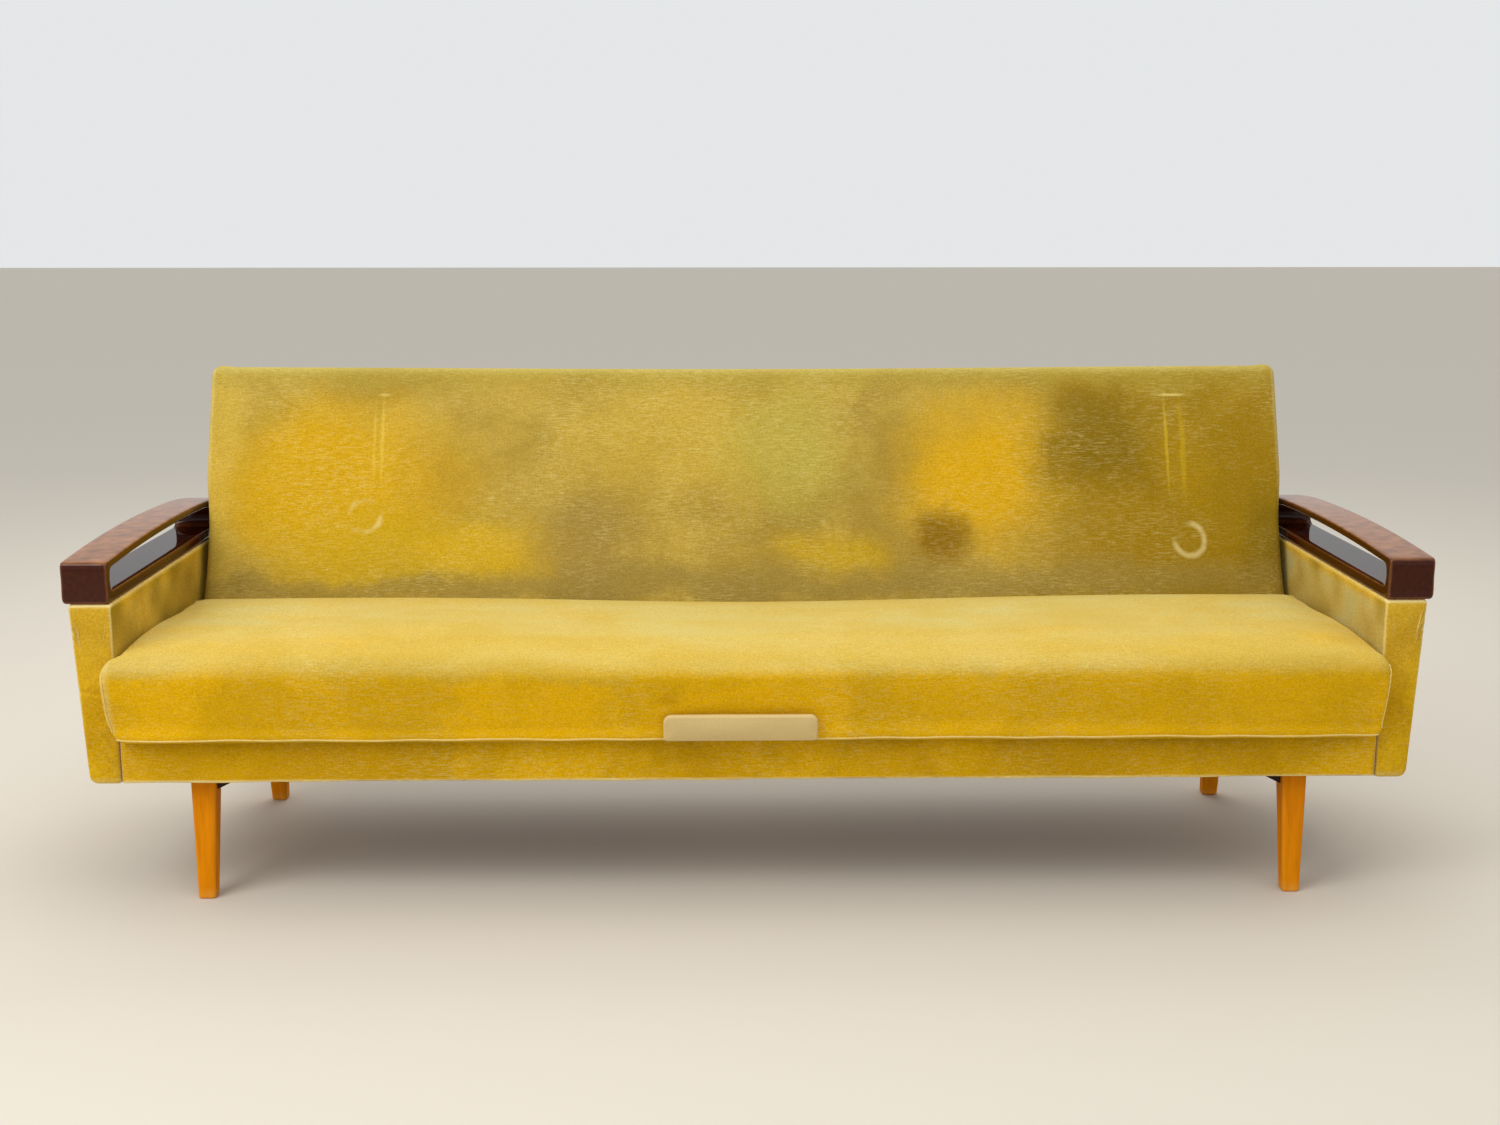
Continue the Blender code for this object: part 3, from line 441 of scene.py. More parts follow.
# ---- finishes ------------------------------------------------------------------------------
class Recipe:
    """A new material, with short ways to add the nodes that the finishes share.

    Attributes:
        material: The material.
        tree: Its nodes.
        place: Position on the piece in metres.
    """

    def __init__(self, name: str) -> None:
        """Start the material.

        Args:
            name: The material's name.
        """
        self.material = bpy.data.materials.new(name)
        self.material.use_nodes = True
        self.tree = self.material.node_tree
        self.place = node(self.tree, "ShaderNodeTexCoord").outputs["Object"]

    def attribute(self, name: str) -> Socket:
        """Read a number that is painted on the piece; it is 0 where nothing is painted."""
        return node(self.tree, "ShaderNodeAttribute", attribute_name=name).outputs["Fac"]

    def noise(self, place: Socket, scale: float = 1.0, detail: float = 2.0, roughness: float = 0.5,
              distortion: float = 0.0, output: str = "Fac") -> Socket:
        """Add a noise.

        Args:
            place: Position to read.
            scale: Steps for each unit of the position.
            detail: Layers of finer noise.
            roughness: Strength of the finer layers.
            distortion: How far it is warped.
            output: Fac for one value, Color for three.

        Returns:
            The noise's socket.
        """
        inputs = {"Vector": place, "Scale": scale, "Detail": detail, "Roughness": roughness,
                  "Distortion": distortion}
        return node(self.tree, "ShaderNodeTexNoise", inputs).outputs[output]

    def ranged(self, value: Socket, low: float = 0.0, high: float = 1.0, to_low: float = 0.0,
               to_high: float = 1.0, soft: bool = False) -> Socket:
        """Carry a range of values over to another range, clamped at both ends.

        Args:
            value: The value.
            low: Value that gives to_low.
            high: Value that gives to_high.
            to_low: Result at low.
            to_high: Result at high.
            soft: Whether it eases in and out.

        Returns:
            The result's socket.
        """
        inputs = {"Value": value, "From Min": low, "From Max": high, "To Min": to_low,
                  "To Max": to_high}
        kind = "SMOOTHSTEP" if soft else "LINEAR"
        return node(self.tree, "ShaderNodeMapRange", inputs, interpolation_type=kind).outputs[0]

    def maths(self, operation: str, first: Socket | float, second: Socket | float = 0.0,
              clamp: bool = False) -> Socket:
        """Work out a number from one or two others.

        Args:
            operation: The node's name for the sum.
            first: First number.
            second: Second number, where the sum has one.
            clamp: Whether the result is kept from 0 to 1.

        Returns:
            The result's socket.
        """
        return node(self.tree, "ShaderNodeMath", {0: first, 1: second}, operation=operation,
                    use_clamp=clamp).outputs[0]

    def times(self, first: Socket | float, second: Socket | float, clamp: bool = False) -> Socket:
        """Multiply two numbers."""
        return self.maths("MULTIPLY", first, second, clamp)

    def vector(self, operation: str, first: Socket, second: Socket | Triple = (0.0, 0.0, 0.0),
               output: str = "Vector") -> Socket:
        """Work out a vector, or its length, from one or two others.

        Args:
            operation: The node's name for the sum.
            first: First vector.
            second: Second vector, where the sum has one.
            output: Vector, or Value for a length.

        Returns:
            The result's socket.
        """
        return node(self.tree, "ShaderNodeVectorMath", {0: first, 1: second},
                    operation=operation).outputs[output]

    def reach(self, place: Socket, x: float, z: float, spread: Triple) -> Socket:
        """Measure how far a position lies from a point on the front, with each axis scaled.

        Args:
            place: The position.
            x: Place of the point along the sofa.
            z: Its height.
            spread: Scale of the distance along X, Y and Z.

        Returns:
            The socket of the distance.
        """
        away = self.vector("MULTIPLY", self.vector("SUBTRACT", place, (x, 0.0, z)), spread)
        return self.vector("LENGTH", away, output="Value")

    def mix(self, share: Socket, first: Colour, second: Colour) -> Socket:
        """Mix two colours.

        Args:
            share: How much of the second colour.
            first: A colour, or the socket that gives one.
            second: A colour, or the socket that gives one.

        Returns:
            The socket of the mixed colour.
        """
        inputs = {0: share, 6: first, 7: second}
        return node(self.tree, "ShaderNodeMix", inputs, data_type="RGBA").outputs[2]

    def bump(self, height: Socket, strength: float, distance: float,
             below: Socket | None = None) -> Socket:
        """Raise a relief on the surface.

        Args:
            height: The relief's height from 0 to 1.
            strength: How much it shows.
            distance: Its real height in metres.
            below: A coarser relief that it lies on.

        Returns:
            The socket of the surface's direction.
        """
        inputs = {"Height": height, "Strength": strength, "Distance": distance}
        if below is not None:
            inputs["Normal"] = below
        return node(self.tree, "ShaderNodeBump", inputs).outputs[0]

    def finished(self, inputs: dict[str, Socket | Colour | float]) -> Material:
        """Set the shader's inputs, by name, and return the material."""
        feed(self.tree, self.tree.nodes["Principled BSDF"], inputs)
        return self.material


@dataclass(frozen=True)
class Patch:
    """A soft-edged zone of a cloth where its colour has changed; a few zones lay painted shade and
    painted sheen.

    Attributes:
        x: Middle along the sofa.
        z: Height of the middle.
        half_width: Reach along the sofa.
        half_height: Reach up and down.
        colour: sRGB hex of the zone.
        strength: Share of the zone's colour at its middle.
    """

    x: float
    z: float
    half_width: float
    half_height: float
    colour: str
    strength: float


@dataclass(frozen=True)
class Ring:
    """A faint broken ring crushed into the pile.

    Attributes:
        x: Middle along the sofa.
        z: Height of the middle.
        radius: Radius of the ring.
    """

    x: float
    z: float
    radius: float


@dataclass(frozen=True)
class Velvet:
    """Old-gold cotton velvet: short cut pile, worn and crushed by use, woven in a plain ground.

    The pile gives a soft sheen at glancing angles, worn ribs show as fine streaks along the
    weft, and rubbed edges show the pale ground.

    Attributes:
        name: The material's name.
        base: sRGB hex of the upright pile.
        brushed: sRGB hex of pile that lies flat, which also serves as painted sheen on faces turned
            up.
        deep: sRGB hex of pile brushed away from the light.
        worn: sRGB hex of rubbed pile.
        shade: sRGB hex of painted shade, laid where the attribute away is painted.
        sheen: sRGB hex of the gloss on the pile's tips.
        patches: Zones where the colour has changed, and a few of painted shade and painted sheen,
            first the ones below.
        marks: Fine pale creases.
        rings: Rings crushed into the pile.
        streak: Steps of the streaks for each metre along X, Y and Z.
        streak_strength: How much the streaks show.
        cloud_scale: Steps of the cloudy tone for each metre.
    """

    name: str
    base: str
    brushed: str
    deep: str
    worn: str = "dcc986"
    shade: str = "7d6404"
    sheen: str = "ffd040"
    patches: tuple[Patch, ...] = ()
    marks: tuple[Patch, ...] = ()
    rings: tuple[Ring, ...] = ()
    streak: Triple = (62.0, 450.0, 450.0)
    streak_strength: float = 0.34
    cloud_scale: float = 5.0

    def build(self) -> Material:
        """Make the material.

        Returns:
            The velvet's material.
        """
        recipe = Recipe(self.name)
        place = recipe.place
        worn, deep = linear(self.worn), linear(self.deep)

        # Crushed pile: cloudy changes of tone, 0.1 to 0.3 m across.
        clouds = recipe.noise(place, self.cloud_scale, 5.0, 0.6, 0.4)
        colour = recipe.mix(recipe.ranged(clouds, 0.38, 0.62, soft=True), deep, linear(self.base))

        # Faces turned from use keep their even colour.
        used = recipe.maths("SUBTRACT", 1.0, recipe.attribute("sheltered"), clamp=True)
        strong = self.wandered(recipe, 7.0, (0.15, 0.0, 0.12))
        for patch in self.patches:
            colour = self.patched(recipe, strong, patch, used, colour)
        # Painted shade: where the attribute away is painted, the colour darkens towards the shade
        # colour.
        colour = recipe.mix(recipe.attribute("away"), colour, linear(self.shade))

        # Upward faces hold their pile brushed flat and pale, in uneven sweeps; this also paints the
        # sheen that lightens faces turned up.
        sweep = recipe.ranged(clouds, 0.30, 0.62, 0.50, 1.0)
        nap_and_sheen = recipe.times(recipe.attribute("nap_and_sheen"), sweep, clamp=True)
        colour = recipe.mix(nap_and_sheen, colour, linear(self.brushed))

        # Weft ribs 2 mm apart, drawn as broken streaks 15 to 30 mm long that come in clusters.
        streaks = recipe.noise(recipe.vector("MULTIPLY", place, self.streak), 1.0, 2.0, 0.6)
        cluster = recipe.ranged(recipe.noise(strong, 6.5, 3.0, 0.55), 0.40, 0.64, 0.25, 1.0)
        light = recipe.ranged(streaks, 0.46, 0.74, 0.0, self.streak_strength)
        colour = recipe.mix(recipe.times(light, cluster), colour, worn)
        dark = recipe.ranged(streaks, 0.48, 0.28, 0.0, self.streak_strength * 0.8)
        colour = recipe.mix(dark, colour, deep)

        # Single tufts, drawn 3 mm across so that they show.
        tone = recipe.ranged(recipe.noise(place, 330.0, 2.0, 0.7), 0.3, 0.7, 0.84, 1.16)
        colour = node(recipe.tree, "ShaderNodeVectorMath", {0: colour, "Scale": tone},
                      operation="SCALE").outputs[0]

        gentle = self.wandered(recipe, 14.0, (0.012, 0.0, 0.012))
        for mark in self.marks:
            colour = self.patched(recipe, gentle, mark, used, colour)
        for ring in self.rings:
            colour = self.ringed(recipe, gentle, ring, used, colour)

        # Rubbed edges show the ground between the streaks.
        rubbed = recipe.times(recipe.attribute("wear"), streaks)
        colour = recipe.mix(recipe.times(rubbed, 1.9, clamp=True), colour, worn)

        # Pile tips: tufts about 1 mm across, with the ribs and crushed spots below them.
        low = recipe.bump(recipe.noise(place, 38.0, 4.0, 0.6), 0.25, 0.004)
        middle = recipe.bump(streaks, 0.25, 0.0008, low)
        top = recipe.bump(recipe.noise(place, 650.0, 2.0), 0.40, 0.0006, middle)
        return recipe.finished({
            "Base Color": colour, "Normal": top, "Roughness": 0.92, "Specular IOR Level": 0.04,
            "Sheen Weight": 0.22, "Sheen Roughness": 0.32, "Sheen Tint": linear(self.sheen)})

    def wandered(self, recipe: Recipe, scale: float, reach: Triple) -> Socket:
        """Shift positions by a slow noise, so that drawn shapes get uneven edges.

        Args:
            recipe: The material in the making.
            scale: Steps of the noise for each metre.
            reach: Furthest shift along X, Y and Z, both ways together.

        Returns:
            The socket of the shifted position.
        """
        wander = recipe.noise(recipe.place, scale, 4.0, 0.6, output="Color")
        centred = recipe.vector("SUBTRACT", wander, (0.5, 0.5, 0.5))
        return recipe.vector("ADD", recipe.place, recipe.vector("MULTIPLY", centred, reach))

    def patched(self, recipe: Recipe, place: Socket, patch: Patch, used: Socket,
                colour: Socket) -> Socket:
        """Lay one patch over a colour.

        Args:
            recipe: The material in the making.
            place: The position to read.
            patch: The zone.
            used: 1 where the cloth is used, 0 where it is sheltered.
            colour: The colour below.

        Returns:
            The socket of the patched colour.
        """
        spread = (1 / patch.half_width, 0.0, 1 / patch.half_height)
        reach = recipe.reach(place, patch.x, patch.z, spread)
        share = recipe.ranged(reach, 1.25, 0.35, 0.0, patch.strength, soft=True)
        return recipe.mix(recipe.times(share, used), colour, linear(patch.colour))

    def ringed(self, recipe: Recipe, place: Socket, ring: Ring, used: Socket,
               colour: Socket) -> Socket:
        """Draw one faint broken ring over a colour.

        Args:
            recipe: The material in the making.
            place: The position to read.
            ring: The ring.
            used: 1 where the cloth is used, 0 where it is sheltered.
            colour: The colour below.

        Returns:
            The socket of the ringed colour.
        """
        reach = recipe.reach(place, ring.x, ring.z, (1.0, 0.0, 1.0))
        offset = recipe.maths("ABSOLUTE", recipe.maths("SUBTRACT", reach, ring.radius))
        band = recipe.ranged(offset, 0.0080, 0.0005, 0.0, 0.55, soft=True)
        breaks = recipe.ranged(recipe.noise(place, 24.0), 0.44, 0.64)
        share = recipe.times(recipe.times(band, breaks), used)
        return recipe.mix(share, colour, linear(self.worn))


@dataclass(frozen=True)
class Lacquer:
    """Stained beech under lacquer: fine straight grain with short flecks, seen through a coat.

    The coat gives sharp reflections over the softer wood, and rubbed corners show paler wood.

    Attributes:
        name: The material's name.
        light: sRGB hex of the light grain.
        dark: sRGB hex of the dark grain and the flecks.
        rubbed: sRGB hex of rubbed wood.
        gloss: Least roughness of the wood.
        coat: Weight of the lacquer.
        coat_roughness: Roughness of the lacquer.
        grain: Axis that the grain runs along.
    """

    name: str
    light: str
    dark: str
    rubbed: str
    gloss: float
    coat: float
    coat_roughness: float
    grain: Grain

    def build(self) -> Material:
        """Make the material.

        Returns:
            The lacquered wood.
        """
        recipe = Recipe(self.name)
        place = recipe.place
        dark = linear(self.dark)
        along = Vector(self.grain.value)
        # Growth bands 6 to 12 mm wide that run the length of the board.
        bands = Vector((130, 130, 130)) - along * 124
        growth = recipe.noise(recipe.vector("MULTIPLY", place, tuple(bands)), 1.0, 4.0, 0.6, 0.3)
        colour = recipe.mix(recipe.ranged(growth, 0.3, 0.7), dark, linear(self.light))
        # Beech flecks about 0.7 mm wide and 8 mm long.
        flecks = Vector((1400, 1400, 1400)) - along * 1280
        fleck = recipe.noise(recipe.vector("MULTIPLY", place, tuple(flecks)), 1.0, 1.0)
        colour = recipe.mix(recipe.ranged(fleck, 0.58, 0.75, 0.0, 0.25), colour, dark)
        # Rubbed and handled places are paler and a little duller, in blotches of 20 mm.
        blotch = recipe.noise(place, 45.0, 4.0)
        rub = recipe.times(recipe.attribute("wear"), blotch, clamp=True)
        colour = recipe.mix(rub, colour, linear(self.rubbed))
        relief = recipe.bump(blotch, 0.05, 0.002, recipe.bump(fleck, 0.08, 0.0003))
        return recipe.finished({
            "Base Color": colour, "Normal": relief,
            "Roughness": recipe.ranged(blotch, 0.3, 0.7, self.gloss, self.gloss + 0.10),
            "Specular IOR Level": 0.0, "Coat Weight": self.coat,
            "Coat Roughness": self.coat_roughness, "Coat IOR": 1.38})


@dataclass(frozen=True)
class Plain:
    """A plain material of the inner frame: sawn wood, board, cloth, webbing or plated steel.

    Attributes:
        name: The material's name.
        light: sRGB hex of its lighter parts.
        dark: sRGB hex of its darker parts.
        stretch: Pattern steps for each metre along X, Y and Z.
        roughness: Roughness of the surface.
        metallic: 1 for bare or plated metal.
        relief: Height of the surface pattern in metres.
    """

    name: str
    light: str
    dark: str
    stretch: Triple
    roughness: float
    metallic: float = 0.0
    relief: float = 0.0003

    def build(self) -> Material:
        """Make the material.

        Returns:
            The plain material.
        """
        recipe = Recipe(self.name)
        stretched = recipe.vector("MULTIPLY", recipe.place, self.stretch)
        pattern = recipe.noise(stretched, 1.0, 5.0, 0.6)
        share = recipe.ranged(pattern, 0.32, 0.68)
        rough = recipe.ranged(pattern, to_low=self.roughness - 0.08, to_high=self.roughness + 0.08)
        return recipe.finished({
            "Base Color": recipe.mix(share, linear(self.dark), linear(self.light)),
            "Roughness": rough, "Normal": recipe.bump(pattern, 0.4, self.relief),
            "Metallic": self.metallic})


# ---- upholstery ----------------------------------------------------------------------------
ARM_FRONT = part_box("apron_cover")[0].y  # every depth below is measured back from here
JOINTS = {joint["name"]: joint for joint in frame["joints"]}


def end_rings(half: float, edge: float, crown: float) -> list[tuple[float, float]]:
    """Work out the rings that round one end of a cushion and close its end panel.

    Args:
        half: Half the cushion's length.
        edge: Radius of the rounded edge.
        crown: How far the end panel bulges.

    Returns:
        Place along the cushion and inset of each ring, from the outline to the panel's middle.
    """
    rings = [(half - crown - back, inset) for back, inset in quarter(edge)]
    for share in (0.3, 0.6, 0.85, 0.98):
        rings.append((half - crown * (1 - math.sin(math.pi / 2 * share)), edge + share))
    return rings


def cushion_skin(name: str, outline: np.ndarray, half: float, edge: float) -> Piece:
    """Make a long cushion's skin from the outline of its end.

    Args:
        name: The new piece's name.
        outline: The end's outline, two coordinates for each point.
        half: Half the cushion's length.
        edge: Radius of its edges at the ends.

    Returns:
        The cushion, with its length along X and the outline in Y and Z.
    """
    middle = (outline.max(axis=0) + outline.min(axis=0)) / 2
    reach = outline.max(axis=0) - middle
    ends = end_rings(half, edge, crown=0.002)
    rings = [(-x, inset) for x, inset in reversed(ends)]
    inner = ends[0][0]
    rings += [(x, 0.0) for x in np.linspace(-inner, inner, CUSHION_STATIONS)[1:-1]]
    rings += ends
    points = []
    for x, inset in rings:
        shrink = 1 - min(inset, edge) / reach
        if inset > edge:
            shrink = shrink * (1 - (inset - edge))
        ring = middle + (outline - middle) * shrink
        points.append(np.column_stack([np.full(len(ring), x), ring]))
    piece = loft(name, np.array(points))
    face_outwards(piece)
    return piece


def stuffed(name: str, outline: np.ndarray, half: float, edge: float, swell: float,
            thinned: float, firm: Callable[[np.ndarray], np.ndarray]) -> Piece:
    """Sew a cushion's cover a little small and swell it.

    Args:
        name: The new piece's name.
        outline: The end's outline, two coordinates for each point.
        half: Half the cut length.
        edge: Radius of the edges at the ends.
        swell: The furthest that the cover swells.
        thinned: Share of the swelling by which the cover is cut small.
        firm: Turns the cover's points into how firmly each is held.

    Returns:
        The swollen cushion.
    """
    middle = (outline.max(axis=0) + outline.min(axis=0)) / 2
    small = middle + (outline - middle) * (1 - swell * thinned / (outline.max(axis=0) - middle))
    piece = cushion_skin(name, small, half, edge)
    inflate(piece, firm(read_points(piece)), cap=swell)
    subdivided(piece)
    return piece


@dataclass
class SeatCushion:
    """The sprung seat with its welts, crowned on top and raked at the front.

    Attributes:
        half_front: Half its length between the arms.
        half_rear: Half its length beside the steel links.
        sag: Depth of the dip in the middle of its top.
        swell: How far the cover swells when it is stuffed.
        pull_in: How far the swelling pulls in the ends, added to the cut length.
        end_profile: Height and share of the end's bulge there, in front of the arms.
        bulge_left: How far the left end bulges in front of the arm.
        bulge_right: How far the right end bulges in front of the arm.
        outline: Depth, height and corner radius of each corner of the end.
    """

    half_front: float = 0.9742
    half_rear: float = 0.9650
    sag: float = 0.009
    swell: float = 0.005
    pull_in: float = 0.004
    end_profile: tuple[tuple[float, float], ...] = (
        (0.262, 0.35), (0.275, 0.50), (0.293, 0.75), (0.320, 0.97), (0.347, 1.0), (0.378, 1.0),
        (0.395, 0.6), (0.410, 0.0),
    )
    bulge_left: float = 0.0178
    bulge_right: float = 0.0055
    outline: tuple[tuple[float, float, float], ...] = (
        (-0.0180, 0.2582, 0.002),
        (-0.0275, 0.2632, 0.007),
        (-0.0595, 0.3975, 0.030),
        (0.0200, 0.4060, 0.200),
        (0.1200, 0.4105, 0.400),
        (0.3400, 0.4090, 0.400),
        (0.4330, 0.4010, 0.028),
        (0.4290, 0.2584, 0.006),
    )

    def build(self) -> Piece:
        """Make the cushion.

        Returns:
            The cushion's piece.
        """
        def firm(points: np.ndarray) -> np.ndarray:
            """Hold the cover where it is stapled to the frame, below and behind."""
            return np.maximum(smooth(points[:, 2], 0.290, 0.270), smooth(points[:, 1], 0.385, 0.41))

        outline = resampled(filleted(self.outline), 118)
        piece = stuffed("seat_cushion", outline, self.half_front + self.pull_in, 0.013, self.swell,
                        0.7, firm)
        write_points(piece, self.sculpted(read_points(piece)))
        self.paint_use(piece)
        return piece

    def sculpted(self, points: np.ndarray) -> np.ndarray:
        """Add the dips, slack and puckers of long use.

        Args:
            points: The cushion's points, with depth measured from the arm front.

        Returns:
            The changed points, in the frame's coordinates.
        """
        x, y, z = points.T
        narrowing = smooth(y, 0.20, 0.30) * (self.half_front - self.half_rear)
        x = x * (1 - narrowing / self.half_front)
        top = smooth(z, 0.36, 0.40)
        front = smooth(y, 0.02, -0.02)
        upper = smooth(z, 0.28, 0.30) * (1 - smooth(y, 0.38, 0.41))
        at_end = smooth(np.abs(x), 0.88, 0.97)
        # The nose swells past the arms in front of them, and the lower corners are rounded.
        heights, offsets = zip(*self.end_profile)
        bulge = np.interp(z, heights, offsets) * at_end * smooth(y, 0.008, -0.018)
        x = x + np.where(x < 0, -self.bulge_left, self.bulge_right) * bulge
        rounding = np.clip((np.abs(x) - (self.half_front - 0.020)) / 0.024, 0, 1)
        lower = smooth(z, 0.300, 0.268) * smooth(y, 0.02, -0.005)
        z = z + 0.016 * (1 - np.sqrt(1 - rounding ** 2)) * lower
        # Underneath, the cover ends on the wooden frame and leaves the dust cloth open.
        inside = smooth(y, 0.026, 0.034) * smooth(y, 0.386, 0.378) * smooth(np.abs(x), 0.920, 0.910)
        z = z + 0.006 * inside * (z < 0.270)
        # Long use: a shallow dip on top, slack waves and small puckers where the cover is pulled.
        z = z - self.sag * np.exp(-((x + 0.02) / 0.42) ** 2) * top
        z = z + 0.0015 * np.sin(5.1 * x + 1.0) * np.sin(9 * y + 0.6) * top
        y = y + 0.0020 * np.sin(4.3 * x + 0.4) * front * upper
        lip = smooth(z, 0.278, 0.268) * smooth(y, -0.018, -0.023)
        z = z + 0.0011 * np.sin(13 * x) * np.sin(31 * x + 1) * lip
        end = np.exp(-((np.abs(x) - 0.962) / 0.018) ** 2) * smooth(y, 0.06, -0.02)
        pucker = np.exp(-((z - 0.376) / 0.022) ** 2)
        y = y + 0.0014 * np.sin(2 * math.pi * z / 0.0085 + 9 * np.abs(x)) * end * pucker
        tug = np.exp(-((x + 0.128) / 0.020) ** 2 - ((z - 0.327) / 0.010) ** 2)
        y = y + 0.0035 * tug * front
        limit = self.half_front + 0.011 * smooth(y, 0.003, -0.012) - narrowing
        x = np.clip(x, -limit, limit)
        return np.column_stack([x, y + ARM_FRONT, z])

    def paint_use(self, piece: Piece) -> None:
        """Store where the pile lies flat with painted sheen, where it is rubbed and where painted
        shade darkens it.

        Args:
            piece: The finished cushion.
        """
        x, y, z = read_points(piece).T
        y = y - ARM_FRONT
        # Flat pile and painted sheen: the nose and the top are lightened in mottled bands.
        wave = 0.014 * np.sin(4.7 * x + 0.5) + 0.008 * np.sin(13 * x + 2)
        nap_and_sheen = 0.55 * smooth(y + wave * 0.6, -0.066, -0.022) + 0.45 * smooth(y + wave, 0.0, 0.20)
        mottle = (0.86 + 0.14 * np.sin(7.1 * x + 1.7 * np.sin(31 * y)) * np.sin(37 * y + 2.9 * x)
                  + 0.06 * np.sin(21 * x + 5) * np.sin(17 * y + 8 * x))
        paint(piece, "nap_and_sheen", nap_and_sheen * mottle * smooth(z, 0.366, 0.388))
        end_edge = smooth(np.abs(x), 0.9700, 0.9790) * smooth(y, 0.02, -0.01)
        nose = np.exp(-((y + 0.045) / 0.012) ** 2) * smooth(z, 0.37, 0.39) * 0.10
        paint(piece, "wear", np.clip(0.35 * end_edge + nose, 0, 1))
        # Painted shade: the nose that faces up and forward is darkened in blotches, and a painted
        # shadow darkens the strip under the front welt.
        blotch = 0.7 + 0.3 * np.sin(5.3 * x + 2) * np.sin(23 * y + 3 * x)
        nose_shade = np.exp(-((y + 0.040) / 0.032) ** 2) * smooth(z, 0.355, 0.385) * blotch
        under = smooth(z, 0.2650, 0.2635)
        paint(piece, "away", np.clip(0.42 * nose_shade + 0.9 * under, 0, 1))

    def build_welts(self, cover: Piece) -> list[Piece]:
        """Make the welt along the lower front edge and the welts up the two ends.

        Args:
            cover: The finished cushion.

        Returns:
            The welts.
        """
        x = np.linspace(-self.half_front - 0.002, self.half_front + 0.002, 320)
        wave = 0.0010 * np.sin(13 * x) * np.sin(31 * x + 1) + 0.0004 * np.sin(70 * x)
        y = np.full_like(x, ARM_FRONT - 0.0310)
        path = laid_on(np.column_stack([x, y, 0.2660 + wave]), cover, 0.0004)
        welts = [tube("seat_welt_front", path, 0.0016)]
        z = np.linspace(0.278, 0.392, 70)
        for side, sign in SIDES.items():
            x = np.full_like(z, sign * (self.half_front + 0.012))
            y = ARM_FRONT - 0.0400 - (z - 0.2668) * 0.239 + 0.030 * smooth(z, 0.36, 0.40)
            path = laid_on(np.column_stack([x, y, z]), cover, 0.0002)
            welts.append(tube("seat_welt_" + side, path, 0.0011))
        for welt in welts:
            paint(welt, "nap_and_sheen", np.full(len(welt.data.vertices), 0.35))
            paint(welt, "wear", np.full(len(welt.data.vertices), 0.55))
        return welts


